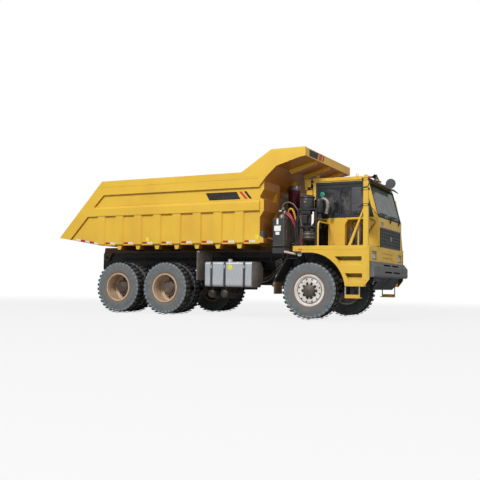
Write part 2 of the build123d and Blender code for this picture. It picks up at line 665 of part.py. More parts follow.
door_window_z = (2460, door_z[1] - 60)
door_window_x = (door_x[0] + 80, door_x[1] - 80)
with BuildPart() as door_left:
    block((door_x[0] + door_gap, door_x[1] - door_gap), (cab_left - cab_wall + 10, cab_left),
          (door_z[0] + door_gap, door_z[1] - door_gap))
    block(door_window_x, (cab_left - cab_wall + 10, cab_left), door_window_z, mode=Mode.SUBTRACT)
    for z in door_hinge_z:
        arm_z = (z - knuckle_half, z + knuckle_half)
        block((door_x[1] - 75, door_x[1] - 12), (cab_left, door_hinge_y), arm_z)
        block((door_x[1] - 20, door_hinge_x), (cab_left + 7, door_hinge_y), arm_z)
        upright(door_hinge_x, door_hinge_y, knuckle_r, arm_z)
        upright(door_hinge_x, door_hinge_y, door_pin_r + running_gap, arm_z, mode=Mode.SUBTRACT)
save(door_left, "door_left")

with BuildPart() as door_glass:
    block(door_window_x, (cab_left - 35, cab_left - 35 + glass_t), door_window_z)
save(door_glass, "door_glass")

rear_window_y = (-300, 900)
rear_window_z = (2500, 3050)
with BuildPart() as cab_rear_wall:
    block((cab_rear, cab_rear + cab_wall), (cab_right + cab_wall, cab_left - cab_wall), (cab_base, cab_eaves))
    block((cab_rear, cab_rear + cab_wall), rear_window_y, rear_window_z, mode=Mode.SUBTRACT)
    block((cab_rear, cab_rear + cab_wall), (inside_y, notch_y), (cab_base, cut_top), mode=Mode.SUBTRACT)
save(cab_rear_wall, "cab_rear_wall")

with BuildPart() as cab_front_wall:
    block((cab_front - cab_wall, cab_front), (cab_right + cab_wall, cab_left - cab_wall), (cab_base, sill_z))
save(cab_front_wall, "cab_front_wall")

with BuildPart() as cab_roof:
    with BuildSketch(Plane.XZ.offset(-cab_right)):
        with BuildLine():
            Polyline((cab_rear, cab_eaves), (windscreen_top_x - 50, cab_eaves),
                     (windscreen_top_x - 90, cab_top - 25), (windscreen_top_x - 200, cab_top),
                     (cab_rear + 40, cab_top), (cab_rear, cab_top - 30), close=True)
        make_face()
    extrude(amount=-(cab_left - cab_right))
    # Header over the windscreen
    side_plate([(windscreen_top_x, windscreen_top_z), (windscreen_top_x - 50, cab_eaves),
                (windscreen_top_x - 50 - cab_wall, cab_eaves), (windscreen_top_x - cab_wall, windscreen_top_z)],
               (cab_right + cab_wall, cab_left - cab_wall))
save(cab_roof, "cab_roof")

with BuildPart() as cab_glass:
    side_plate([(cab_front - 10, sill_z), (windscreen_top_x - 10, windscreen_top_z),
                (windscreen_top_x - 10 - glass_t, windscreen_top_z), (cab_front - 10 - glass_t, sill_z)],
               (cab_right + cab_wall, cab_left - cab_wall))
    side_plate(side_window, (cab_right + 20, cab_right + 20 + glass_t))
    block((cab_rear + 20, cab_rear + 20 + glass_t), rear_window_y, rear_window_z)
save(cab_glass, "cab_glass")

# Grille on the cab front: a frame with louvre bars
grille_y = (-600, 1150)
grille_z = (1735, 2200)
grille_t = 28
louvres = 5
with BuildPart() as grille:
    block((cab_front, cab_front + grille_t), grille_y, grille_z)
    opening = grille_z[1] - grille_z[0] - 60
    pitch = opening / louvres
    for i in range(louvres):
        z = grille_z[0] + 30 + i * pitch
        block((cab_front + 10, cab_front + grille_t), (grille_y[0] + 30, grille_y[1] - 30),
              (z + 12, z + pitch - 12), mode=Mode.SUBTRACT)
save(grille, "grille")

# Inside the cab
seat_table = [
    # rear x, middle y
    (cab_rear + 450, -230),
    (cab_rear + 160, 780),
]
with BuildPart() as seats:
    for x, y in seat_table:
        block((x + 90, x + 560), (y - 240, y + 240), (floor_top + 330, floor_top + 440))
        block((x, x + 130), (y - 230, y + 230), (floor_top + 380, floor_top + 1060))
        block((x + 170, x + 480), (y - 160, y + 160), (floor_top, floor_top + 330))
save(seats, "seats")

dash_x = (cab_front - cab_wall - 320, cab_front - cab_wall)
dash_z = (2150, 2420)
wheel_centre = Vector(dash_x[0] - 110, 780, 2500)
column_dir = Vector(-0.5, 0, 0.866)
hub_t = 22
column_length = 260
steer_r = 230
steer_tube = 16
with BuildPart() as dashboard:
    side_plate([(dash_x[0], dash_z[0]), (dash_x[1], dash_z[0] - 120), (dash_x[1], dash_z[1]),
                (dash_x[0] + 60, dash_z[1]), (dash_x[0], dash_z[1] - 80)],
               (alcove_y + inner_t, cab_left - cab_wall))
    with BuildSketch(Plane(wheel_centre, x_dir=(0, 1, 0), z_dir=column_dir)):
        Circle(28)
    extrude(amount=-column_length)
    with BuildSketch(Plane(wheel_centre, x_dir=(0, 1, 0), z_dir=(0.866, 0, 0.5))):
        with Locations((steer_r, 0)):
            Circle(steer_tube)
    revolve(axis=Axis(wheel_centre, column_dir))
    with BuildSketch(Plane(wheel_centre, x_dir=(0, 1, 0), z_dir=column_dir)):
        Circle(45)
        Rectangle(2 * steer_r, 34)
    extrude(amount=-hub_t)
save(dashboard, "dashboard")

# Black sun visor over the windscreen, on two brackets from the header. Its outline and the
# bracket's are set out from the windscreen's upper edge.
visor_slope = 0.9
visor_lift = 102


def from_header(points):
    """Points given ahead of and above the windscreen's upper edge, in the truck's frame."""
    return [(windscreen_top_x + x, windscreen_top_z + z) for x, z in points]


def visor_top(forward):
    """A point on the visor's upper face, by its distance ahead of the windscreen's upper edge."""
    return (forward, visor_lift - visor_slope * (forward - 48))


with BuildPart() as sun_visor:
    side_plate(from_header([(-42, 103), (40, 85), (140, -2), visor_top(150), visor_top(48), (-46, 121)]),
               (cab_right + 20, cab_left - 20))
    for y in (cab_right + 200, cab_left - 200):
        side_plate(from_header([(-21, 51), (40, 88), (-39, 105)]), (y - 15, y + 15))
save(sun_visor, "sun_visor")

# Mirrors: two heads on arms at the corner post, two at the left rail, one round over the visor
round_mirror = (windscreen_top_x + 230, windscreen_top_z + 120)
round_mirror_y = (270, 300)
round_mirror_r = 122
near_mirror_x = (front_axle_x + 1020, front_axle_x + 1240)
with BuildPart() as mirrors:
    for y, head_x in ((-rail_y, near_mirror_x), (rail_y, far_mirror_x)):
        for z in ((2700, 3060), (2520, 2670)):
            block(head_x, (y - 25, y + 25), z)
    for z in mirror_arm_z:
        block((near_mirror_x[1] - 5, post_x[0]), (-rail_y - 12, -rail_y + 12), (z, z + 24))
    # Round mirror on a bracket that stands on the visor
    cross_shaft(*round_mirror, round_mirror_r, round_mirror_y)
    side_plate(from_header([visor_top(85), visor_top(135), (175, 80), (175, 130), (85, 95)]), round_mirror_y)
save(mirrors, "mirrors")

# Bed floor: a plate that rises to the tail, with a notch for the hoist's housing
inner_half = bed_half - bed_wall - 20
niche_back = front_axle_x - 1675
niche_half = 600
niche_t = 40
niche_top = 3105
with BuildPart() as bed_floor:
    side_plate([(bed_tail, bed_tail_z), (bed_kink, bed_bottom), (bed_front - bed_floor_t, bed_bottom),
                (bed_front - bed_floor_t, bed_bottom + bed_floor_t), (bed_kink, bed_bottom + bed_floor_t),
                (bed_tail + 40, bed_tail_z + bed_floor_t * 0.6)], (-inner_half, inner_half))
    block((niche_back - niche_t, bed_front), (-niche_half - niche_t, niche_half + niche_t),
          (bed_bottom, bed_bottom + bed_floor_t), mode=Mode.SUBTRACT)
save(bed_floor, "bed_floor")

# Bed sides: a plate, the proud frame of rails round its two sunk panels, and the ribs in the lower one
canopy_curve = [(-1275, 3200), (-1090, 3420), (-830, 3660), (-230, 3835)]
canopy_points = [(front_axle_x + x, z) for x, z in canopy_curve]
bed_outline = [(bed_tail, bed_tail_z), (bed_kink, bed_bottom), (bed_front, bed_bottom),
               *canopy_points, (canopy_front, top_z - lip_height), (canopy_front, top_z), (canopy_start, top_z - 5),
               (canopy_kink, bed_top), (bed_kink, bed_top)]
rib_w = 225
rib_flank = 25
rib_count = 8
rib_first = bed_front - 550
rib_last = bed_kink - 7
rib_pitch = (rib_first - rib_last) / (rib_count - 1)
panel_y = bed_half - 20
rib_face = bed_half + 25
rail_face = bed_half + 35
mid_rail_z = (2600, 2870)
mid_chamfer = 70
top_rail_low = 3176
upper_panel = [(bed_kink - 240, mid_rail_z[1]), (bed_kink + 70, top_rail_low), (bed_front + 1, top_rail_low),
               (bed_front + 1, mid_rail_z[1])]
lower_panel = [(bed_kink - 1065, bed_bottom + 165), (bed_kink - 460, mid_rail_z[0]), (bed_front + 1, mid_rail_z[0]),
               (bed_front + 1, bed_bottom - 1), (bed_kink, bed_bottom - 1)]
for side, name in ((-1, "bed_right_side"), (1, "bed_left_side")):
    plate_y = sorted((side * panel_y, side * inner_half))
    rail_band = sorted((side * panel_y, side * rail_face))
    with BuildPart() as bed_side:
        side_plate(bed_outline, rail_band)
        side_plate(upper_panel, rail_band, mode=Mode.SUBTRACT)
        side_plate(lower_panel, rail_band, mode=Mode.SUBTRACT)
        # Slope on the upper edge of the middle rail
        with BuildSketch(Plane.YZ.offset(upper_panel[0][0])):
            with BuildLine():
                Polyline((side * panel_y, mid_rail_z[1]), (side * rail_face, mid_rail_z[1]),
                         (side * rail_face, mid_rail_z[1] - mid_chamfer), close=True)
            make_face()
        extrude(amount=bed_front + 1 - upper_panel[0][0], mode=Mode.SUBTRACT)
        side_plate(bed_outline, plate_y)
        for i in range(rib_count):
            x = rib_first - i * rib_pitch
            with BuildSketch(Plane.XY.offset(bed_bottom + 27)):
                with BuildLine():
                    Polyline((x - rib_w / 2 - rib_flank, side * panel_y), (x - rib_w / 2, side * rib_face),
                             (x + rib_w / 2, side * rib_face), (x + rib_w / 2 + rib_flank, side * panel_y),
                             close=True)
                make_face()
            extrude(amount=mid_rail_z[0] - bed_bottom - 22)
    save(bed_side, name)

# Bed front wall: the plate, a sloping housing that the hoist swings into, posts and rails in front of it
wall_proud = 100
wall_post_y = (niche_half + niche_t, niche_half + niche_t + 180)
wall_end = bed_half - 25
canopy_rise = (canopy_points[1][1] - canopy_points[0][1]) / (canopy_points[1][0] - canopy_points[0][0])
wall_rails = [
    [(0, canopy_points[0][1]), (wall_proud, canopy_points[0][1] + canopy_rise * wall_proud), (wall_proud, 3120),
     (0, 2960)],
    [(0, 2910), (wall_proud, 2870), (wall_proud, 2600), (0, 2440)],
    [(0, bed_bottom + 190), (wall_proud, bed_bottom + 130), (wall_proud, bed_bottom + 20), (0, bed_bottom + 20)],
]
with BuildPart() as bed_front_wall:
    block((bed_front - bed_floor_t, bed_front), (-inner_half, inner_half), (bed_bottom, canopy_points[0][1]))
    side_plate([(niche_back - niche_t, bed_bottom), (bed_front, bed_bottom), (bed_front, canopy_points[0][1]),
                (bed_front - bed_floor_t, canopy_points[0][1])], (-niche_half - niche_t, niche_half + niche_t))
    side_plate([(niche_back, bed_bottom), (bed_front, bed_bottom), (bed_front, niche_top)],
               (-niche_half, niche_half), mode=Mode.SUBTRACT)
    for side in (-1, 1):
        block((bed_front, bed_front + wall_proud), sorted((side * wall_post_y[0], side * wall_post_y[1])),
              (bed_bottom + 20, canopy_points[0][1]))
        for rail in wall_rails:
            side_plate([(bed_front + x, z) for x, z in rail], sorted((side * wall_post_y[0], side * wall_end)))
save(bed_front_wall, "bed_front_wall")

# Canopy over the cab deck: a folded plate with a lip box, beams under it and ears for the hoist's head
canopy_t = 40
eye_bore_r = 26
lip_top = top_z - 10
lip_low = top_z - lip_height
beam_y = (-790, 150, 1140)
beam_half = 90
beam_depth = 100
with BuildPart() as bed_canopy:
    side_plate([(bed_front - bed_floor_t, canopy_points[0][1]), *canopy_points, (canopy_front, lip_low),
                (canopy_front, lip_top), (canopy_front - 60, lip_top), (canopy_front - 60, lip_low + canopy_t),
                (canopy_points[3][0], canopy_points[3][1] + canopy_t),
                (canopy_points[2][0] - 15, canopy_points[2][1] + canopy_t),
                (canopy_points[1][0] - 30, canopy_points[1][1] + canopy_t),
                (bed_front - bed_floor_t, canopy_points[0][1] + canopy_t)], (-inner_half, inner_half))
    for y in beam_y:
        side_plate([canopy_points[2], canopy_points[3], (canopy_front - 25, lip_low), (canopy_front - 90, lip_low - 85),
                    (canopy_points[3][0], canopy_points[3][1] - beam_depth),
                    (canopy_points[2][0] + 70, canopy_points[2][1] - beam_depth)], (y - beam_half, y + beam_half))
    for side in (-1, 1):
        ear_y = sorted((side * 42, side * 76))
        side_plate([(hoist_x - 105, hoist_eye_z - 50), (hoist_x + 35, hoist_eye_z - 50), (hoist_x + 55, hoist_eye_z),
                    (hoist_x + 60, hoist_eye_z + 150), (hoist_x - 40, hoist_eye_z + 55)], ear_y)
    cross_shaft(hoist_x, hoist_eye_z, eye_bore_r, (-76, 76), mode=Mode.SUBTRACT)
save(bed_canopy, "bed_canopy")

# Bed subframe: two long sills, cross members under the ribs and the hinge ears
sill_y = (372, 512)
sill_low = rail_top + rest_gap
ear_y_range = (462, 512)
ear_r = 105
cross_depth = 110
sill_rear = hinge_x + 60
with BuildPart() as bed_subframe:
    for i in range(rib_count - 1):
        x = rib_first - i * rib_pitch
        side_plate([(x - 80, bed_bottom), (x - 45, bed_bottom - cross_depth), (x + 45, bed_bottom - cross_depth),
                    (x + 80, bed_bottom)], (-bed_half + 30, bed_half - 30))
    for side in (-1, 1):
        block((sill_rear, bed_front - 40), sorted((side * sill_y[0], side * sill_y[1])), (sill_low, bed_bottom))
        ear_y = sorted((side * ear_y_range[0], side * ear_y_range[1]))
        side_plate([(hinge_x - ear_r, hinge_z), (hinge_x - ear_r * 0.6, bed_bottom), (hinge_x + 320, bed_bottom),
                    (hinge_x + ear_r, hinge_z)], ear_y)
        cross_shaft(hinge_x, hinge_z, ear_r, ear_y)
    for side in (-1, 1):
        ear_y = sorted((side * ear_y_range[0], side * ear_y_range[1]))
        cross_shaft(hinge_x, hinge_z, hinge_pin_r + 0.1, ear_y, mode=Mode.SUBTRACT)
save(bed_subframe, "bed_subframe")

# Telescopic hoist: barrel, two stages and the rod with its eye, each sliding in the one before
stage_gap = 0.5
stage_foot = 1600
barrel_r = 160
stage_table = [
    # name, wall, top height
    ("hoist_barrel", 28, 3270),
    ("hoist_stage_1", 25, 3290),
    ("hoist_stage_2", 25, 3305),
]
outer_r = barrel_r
for name, wall, top in stage_table:
    with BuildPart() as stage:
        if name == "hoist_barrel":
            upright(hoist_x, 0, outer_r, (hoist_base_z - 60, top))
            cross_shaft(hoist_x, hoist_base_z, trunnion_r, (-cheek_near - 60, cheek_near + 60))
            upright(hoist_x, 0, outer_r - wall, (stage_foot - 10, top), mode=Mode.SUBTRACT)
        else:
            upright(hoist_x, 0, outer_r, (stage_foot, top))
            upright(hoist_x, 0, outer_r - wall, (stage_foot, top), mode=Mode.SUBTRACT)
    save(stage, name)
    outer_r = outer_r - wall - stage_gap

rod_r = outer_r
with BuildPart() as hoist_rod:
    upright(hoist_x, 0, rod_r, (stage_foot, hoist_eye_z - 110))
    block((hoist_x - 55, hoist_x + 55), (-30, 30), (hoist_eye_z - 120, hoist_eye_z))
    cross_shaft(hoist_x, hoist_eye_z, 44, (-35, 35))
    cross_shaft(hoist_x, hoist_eye_z, eye_bore_r, (-35, 35), mode=Mode.SUBTRACT)
save(hoist_rod, "hoist_rod")

# Tyre: a carcass with lugs standing on it out to the full radius, made once about the wheel's
# centre and set down at each place. The bottom lug stands flat on the ground.
lug_w = 105
lug_root_w = 121
lug_half = tyre_width / 2 - 5
wall_r = tyre_r - 80
flange_room = 2


def drum(r, y, mode=Mode.ADD):
    """A twelve-sided disc about the Y axis, given by the distance to its flats."""
    with BuildSketch(Plane.XZ.offset(-y[0])) as flat:
        RegularPolygon(r, bore_sides, major_radius=False)
    extrude(flat.sketch, amount=-(y[1] - y[0]), mode=mode)


tread = []
for i in range(lug_count):
    angle = radians(i * 360 / lug_count)
    out = Vector(sin(angle), -cos(angle))
    along = Vector(cos(angle), sin(angle))
    for reach, r in ((-lug_root_w, tyre_r - lug_depth), (-lug_w, tyre_r), (lug_w, tyre_r), (lug_root_w, tyre_r - lug_depth)):
        tread.append(tuple(out * r + along * (reach / 2))[:2])
with BuildPart() as tyre:
    side_plate(tread, (-lug_half, lug_half))
    drum(wall_r, (-tyre_width / 2, tyre_width / 2))
    drum(bead_r, (-tyre_width / 2, tyre_width / 2), mode=Mode.SUBTRACT)
    drum(flange_r + flange_room, (-tyre_width / 2, -bead_half), mode=Mode.SUBTRACT)
    drum(flange_r + flange_room, (bead_half, tyre_width / 2), mode=Mode.SUBTRACT)

for x, group in ((front_axle_x, "front"), (axle_2_x, "rear_1"), (axle_3_x, "rear_2")):
    centres = [front_wheel_y] if group == "front" else [rear_inner_y, rear_outer_y]
    for side, hand in ((1, "left"), (-1, "right")):
        with BuildPart() as tyres:
            with Locations(*[(x, side * y, wheel_z) for y in centres]):
                add(tyre.part)
        save(tyres, f"tyre_{group}_{hand}")

# Rims: turned about the axle, the front pair with a proud hub, the rear twins dished
seat_gap = 0.5
for side, hand in ((1, "left"), (-1, "right")):
    turn_plane = Plane((front_axle_x, side * front_wheel_y, wheel_z), x_dir=(0, 0, 1), z_dir=(-side, 0, 0))
    turn_axis = Axis((front_axle_x, side * front_wheel_y, wheel_z), (0, 1, 0))
    with BuildPart() as rim:
        with BuildSketch(turn_plane):
            with BuildLine():
                Polyline((bead_r - seat_gap, -170), (flange_r, -170), (flange_r, -178), (bead_r - rim_wall, -178),
                         (bead_r - rim_wall - 10, 60), (210, 130), (150, 130), (150, -95), (stub_r + running_gap, -95),
                         (stub_r + running_gap, 95), (0, 95), (0, 250), (95, 250), (130, 225), (140, 150), (215, 150),
                         (bead_r - rim_wall, 150), (bead_r - rim_wall, 178), (flange_r, 178), (flange_r, 170),
                         (bead_r - seat_gap, 170), close=True)
            make_face()
        revolve(axis=turn_axis)
    save(rim, f"rim_front_{hand}")

for axle_x, group in ((axle_2_x, "rear_1"), (axle_3_x, "rear_2")):
    for side, hand in ((1, "left"), (-1, "right")):
        twin_y = (rear_inner_y + rear_outer_y) / 2
        turn_plane = Plane((axle_x, side * twin_y, wheel_z), x_dir=(0, 0, 1), z_dir=(-side, 0, 0))
        turn_axis = Axis((axle_x, side * twin_y, wheel_z), (0, 1, 0))
        half_pitch = (rear_outer_y - rear_inner_y) / 2
        inner_end = -half_pitch - 178
        outer_end = half_pitch + 178
        hub_in = drum_y[1] + 8 - twin_y
        bore_end = spindle_end_y + 5 - twin_y
        with BuildPart() as rim:
            with BuildSketch(turn_plane):
                with BuildLine():
                    Polyline((bead_r - rim_wall, inner_end), (flange_r, inner_end), (flange_r, inner_end + flange_t),
                             (bead_r - seat_gap, inner_end + flange_t), (bead_r - seat_gap, outer_end - flange_t),
                             (flange_r, outer_end - flange_t), (flange_r, outer_end), (bead_r - rim_wall, outer_end),
                             (bead_r - rim_wall, 60), (bead_r - 60, 22), (215, 22), (190, 40), (185, 150), (130, 175),
                             (120, 205), (0, 205), (0, bore_end), (spindle_r + running_gap, bore_end),
                             (spindle_r + running_gap, hub_in), (170, hub_in), (190, -22), (bead_r - 60, -22),
                             (bead_r - rim_wall, -60), close=True)
                make_face()
            revolve(axis=turn_axis)
        save(rim, f"rim_{group}_{hand}")
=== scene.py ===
"""Finish of an off-road dump truck: paint, tyres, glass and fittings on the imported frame, in metres."""

import math

import bpy
from mathutils import Matrix, Vector


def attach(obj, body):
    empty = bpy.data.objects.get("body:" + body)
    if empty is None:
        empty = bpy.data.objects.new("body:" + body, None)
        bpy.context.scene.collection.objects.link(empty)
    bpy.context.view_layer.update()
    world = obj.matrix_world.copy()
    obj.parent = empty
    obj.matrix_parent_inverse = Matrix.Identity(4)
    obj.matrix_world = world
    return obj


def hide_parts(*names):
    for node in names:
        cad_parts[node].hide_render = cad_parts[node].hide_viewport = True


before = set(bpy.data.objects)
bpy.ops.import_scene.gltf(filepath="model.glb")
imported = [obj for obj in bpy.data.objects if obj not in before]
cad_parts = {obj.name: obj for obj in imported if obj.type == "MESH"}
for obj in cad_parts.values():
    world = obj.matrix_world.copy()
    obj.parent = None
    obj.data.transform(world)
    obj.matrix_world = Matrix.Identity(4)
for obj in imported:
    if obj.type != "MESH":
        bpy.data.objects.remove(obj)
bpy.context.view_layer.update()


# Camera where the photographer stood: a low, far view of the right side and the front
FRONT_AXLE = 2.970
MIDDLE_AXLE = FRONT_AXLE - 3.940
REAR_AXLE = MIDDLE_AXLE - 1.480
SKIRT_Y = 1.549  # a millimetre inside the decks' outer faces
AXIS = 0.0001  # the radius where a turned profile closes
CAMERA_PLACE = (9.092, -16.896, 0.785)
camera_data = bpy.data.cameras.new("camera")
camera = bpy.data.objects.new("camera", camera_data)
bpy.context.scene.collection.objects.link(camera)
camera_data.lens = 52.83
camera_data.sensor_width = 36
camera_data.clip_end = 400
heading, pitch, roll = math.radians(27.363), math.radians(3.671), math.radians(0.9256)
ahead = Vector((-math.sin(heading) * math.cos(pitch), math.cos(heading) * math.cos(pitch), math.sin(pitch)))
level = Vector((math.cos(heading), math.sin(heading), 0))
upward = level.cross(ahead)
camera_right = level * math.cos(roll) + upward * math.sin(roll)
camera_up = upward * math.cos(roll) - level * math.sin(roll)
camera.matrix_world = Matrix.Translation(CAMERA_PLACE) @ Matrix((camera_right, camera_up,
        -ahead)).transposed().to_4x4()
bpy.context.scene.camera = camera


# Ladder frame: two pressed channel rails, cross members, outriggers and the cast spring hangers.
# They are painted satin black, and dust from the haul road lies on every upper face.

def tone(red, green, blue):
    """A paint colour, given as eight-bit values, turned into light."""
    return (*[(c / 255 / 12.92 if c < 10 else ((c / 255 + 0.055) / 1.055) ** 2.4) for c in (red, green, blue)],
            1)


class Value:
    """A socket of a finish, so that a pattern is written as a sum."""

    def __init__(self, finish, socket):
        self.finish = finish
        self.socket = socket

    def maths(self, operation, *terms):
        return self.finish.node("ShaderNodeMath", {"operation": operation}, dict(enumerate(terms)))

    def __add__(self, other):
        return self.maths("ADD", self, other)

    def __sub__(self, other):
        return self.maths("SUBTRACT", self, other)

    def __rsub__(self, other):
        return self.maths("SUBTRACT", other, self)

    def __mul__(self, other):
        return self.maths("MULTIPLY", self, other)

    def __truediv__(self, other):
        return self.maths("DIVIDE", self, other)

    __radd__ = __add__
    __rmul__ = __mul__

    def band(self, low, high):
        """From 0 at low to 1 at high, with soft ends."""
        return self.finish.node("ShaderNodeMapRange", {"interpolation_type": "SMOOTHSTEP"},
                                {"Value": self, "From Min": low, "From Max": high})


class Finish:
    """One paint, metal or rubber: its material, and the patterns that make it up."""

    def __init__(self, name, metallic=0.0, coat=0.0):
        self.material = bpy.data.materials.new(name)
        self.material.use_nodes = True
        self.tree = self.material.node_tree
        self.surface = self.tree.nodes["Principled BSDF"]
        self.surface.inputs["Metallic"].default_value = metallic
        self.surface.inputs["Coat Weight"].default_value = coat
        self.place = self.node("ShaderNodeTexCoord", output="Object")

    def node(self, kind, settings=None, sockets=None, output=0):
        made = self.tree.nodes.new(kind)
        for key, value in (settings or {}).items():
            setattr(made, key, value)
        for key, value in (sockets or {}).items():
            self.wire(made.inputs[key], value)
        return Value(self, made.outputs[output])

    def wire(self, target, value):
        if isinstance(value, Value):
            self.tree.links.new(value.socket, target)
        else:
            target.default_value = value

    def stretched(self, scale, turned=(0, 0, 0)):
        return self.node("ShaderNodeMapping", None, {"Vector": self.place, "Rotation": turned, "Scale": scale})

    def cloud(self, scale, detail=3.0, roughness=0.5, where=None):
        return self.node("ShaderNodeTexNoise", None, {"Vector": where or self.place, "Scale": scale,
                "Detail": detail, "Roughness": roughness})

    def split(self, vector):
        return [self.node("ShaderNodeSeparateXYZ", None, {"Vector": vector}, axis) for axis in "XYZ"]

    def facing(self):
        """The three parts of the surface's own direction."""
        return self.split(self.node("ShaderNodeNewGeometry", output="Normal"))

    def mix(self, share, first, second):
        return self.node("ShaderNodeMix", {"data_type": "RGBA"}, {0: share, 6: first, 7: second}, 2)

    def finished(self, colour, roughness, grain=None, depth=0.001, strength=0.4):
        self.wire(self.surface.inputs["Base Color"], colour)
        self.wire(self.surface.inputs["Roughness"], roughness)
        if grain is not None:
            raised = self.node("ShaderNodeBump", None, {"Height": grain, "Distance": depth,
                    "Strength": strength})
            self.wire(self.surface.inputs["Normal"], raised)
        return self


DUST = tone(168, 148, 118)
MUD = tone(104, 84, 62)


def enamel(name, colour, faded, rough, dust=0.5, low=0.0, high=1.2, metallic=0.0, coat=0.0):
    """Sprayed paint: it fades in clouds, runs with dust in streaks, and is soiled low down and on top."""
    paint = Finish(name, metallic, coat)
    across, along, lift = paint.facing()
    east, north, height = paint.split(paint.place)
    patches = paint.cloud(1.3, 4).band(0.35, 0.72)
    streaks = paint.cloud(1.0, 4, 0.6, paint.stretched((11, 11, 0.8))).band(0.5, 0.8)
    specks = paint.cloud(34, 5, 0.7).band(0.52, 0.75)
    soiled = 1 - height.band(low, high)
    film = lift.band(0.25, 0.95) * 0.75 + soiled * 0.6 + streaks * 0.22 + specks * 0.16
    film = (film * paint.cloud(5, 5, 0.65).band(0.2, 0.75)) * dust
    body = paint.mix(patches, colour, faded)
    dusty = paint.mix(film.band(0.0, 1.0), body, DUST)
    caked = paint.mix((soiled * specks * dust).band(0.1, 0.9), dusty, MUD)
    orange_peel = paint.cloud(140, 2)
    return paint.finished(caked, film * 0.5 + rough, orange_peel + specks * 0.5, 0.0006, 0.25)


CHASSIS = enamel("chassis_black", tone(22, 22, 25), tone(38, 37, 38), 0.42, 0.55, 0.2, 1.5)
CASTING = enamel("bare_casting", tone(66, 62, 60), tone(98, 90, 82), 0.62, 0.9, 0.2, 1.4)


def dress(finish, *nodes):
    """Solids that keep their own shape get their finish."""
    for node in nodes:
        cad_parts[node].data.materials.clear()
        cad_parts[node].data.materials.append(finish.material)


dress(CHASSIS, "frame", "cross_members", "front_springs", "bogie_springs", "drive_shafts", "tank_brackets")
# Painted light: the outriggers get a grey lighter than the casting's own, so that they look lit where they stand
# in shade
dress(enamel("casting_painted_light", tone(146, 142, 140), tone(120, 112, 106), 0.55, 0.5, 0.2, 1.4), "outriggers")
dress(CASTING, "front_axle", "rear_axles", "engine", "knuckle_left", "knuckle_right")


def pick(obj):
    """Only this object is selected and active."""
    if bpy.context.object and bpy.context.object.mode != "OBJECT":
        bpy.ops.object.mode_set(mode="OBJECT")
    bpy.ops.object.select_all(action="DESELECT")
    obj.select_set(True)
    bpy.context.view_layer.objects.active = obj


def settle(piece, name, body, slot, finish, *stands_for):
    """A finished piece gets its name, its paint, the body that it rides on and the solids that it stands for."""
    pick(piece)
    bpy.ops.object.transform_apply(location=True, rotation=True, scale=True)
    piece.name = name
    piece.data.name = name
    piece.data.materials.clear()
    piece.data.materials.append(finish.material)
    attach(piece, body)
    if stands_for:
        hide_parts(*stands_for)
    return piece


def bar(x, y, z, bevel=0.004, segments=2):
    """A bar or plate between two values on each axis, with its edges rounded over."""
    bpy.ops.object.select_all(action="DESELECT")
    bpy.ops.mesh.primitive_cube_add(size=1, location=[(a + b) / 2 for a, b in (x, y, z)],
                                    scale=[abs(b - a) for a, b in (x, y, z)])
    made = bpy.context.object
    bpy.ops.object.transform_apply(location=True, rotation=True, scale=True)
    bpy.ops.object.mode_set(mode="EDIT")
    bpy.ops.mesh.select_all(action="SELECT")
    bpy.ops.mesh.bevel(offset=bevel, segments=segments, affect="EDGES")
    bpy.ops.object.mode_set(mode="OBJECT")
    return made


def rod(start, end, radius, sides=16, bevel=0.0):
    """A round bar between two points."""
    start, end = Vector(start), Vector(end)
    bpy.ops.object.select_all(action="DESELECT")
    bpy.ops.mesh.primitive_cylinder_add(vertices=sides, radius=radius, depth=(end - start).length,
                                        location=(start + end) / 2,
                                        rotation=(end - start).to_track_quat("Z", "Y").to_euler())
    made = bpy.context.object
    bpy.ops.object.transform_apply(location=True, rotation=True, scale=True)
    if bevel:
        bpy.ops.object.mode_set(mode="EDIT")
        bpy.ops.mesh.select_all(action="DESELECT")
        bpy.ops.object.mode_set(mode="OBJECT")
        for face in made.data.polygons:
            face.select = len(face.vertices) > 4
        bpy.ops.object.mode_set(mode="EDIT")
        bpy.ops.mesh.select_mode(type="FACE")
        bpy.ops.mesh.bevel(offset=bevel, segments=2, affect="EDGES")
        bpy.ops.object.mode_set(mode="OBJECT")
    smooth(made)
    return made


def smooth(piece, angle=35):
    pick(piece)
    bpy.ops.object.shade_smooth_by_angle(angle=math.radians(angle))


def chain(points):
    """A string of edges, drawn one point after another; edit mode stays on."""
    bpy.ops.object.select_all(action="DESELECT")
    bpy.ops.mesh.primitive_plane_add(size=0.01, location=points[0])
    made = bpy.context.object
    bpy.ops.object.transform_apply(location=True, rotation=True, scale=True)
    bpy.ops.object.mode_set(mode="EDIT")
    bpy.ops.mesh.select_mode(type="VERT")
    bpy.ops.mesh.merge(type="CENTER")
    for before, after in zip(points, points[1:]):
        bpy.ops.mesh.extrude_region_move(TRANSFORM_OT_translate={"value": Vector(after) - Vector(before)})
    return made


def panel(points, push, bevel=0.0):
    """A flat outline filled and pushed out to a plate."""
    made = chain(points)
    bpy.ops.mesh.select_all(action="SELECT")
    bpy.ops.mesh.edge_face_add()
    bpy.ops.mesh.extrude_region_move(TRANSFORM_OT_translate={"value": Vector(push)})
    bpy.ops.mesh.select_all(action="SELECT")
    bpy.ops.mesh.normals_make_consistent(inside=False)
    if bevel:
        bpy.ops.mesh.bevel(offset=bevel, segments=2, affect="EDGES")
    bpy.ops.object.mode_set(mode="OBJECT")
    return made


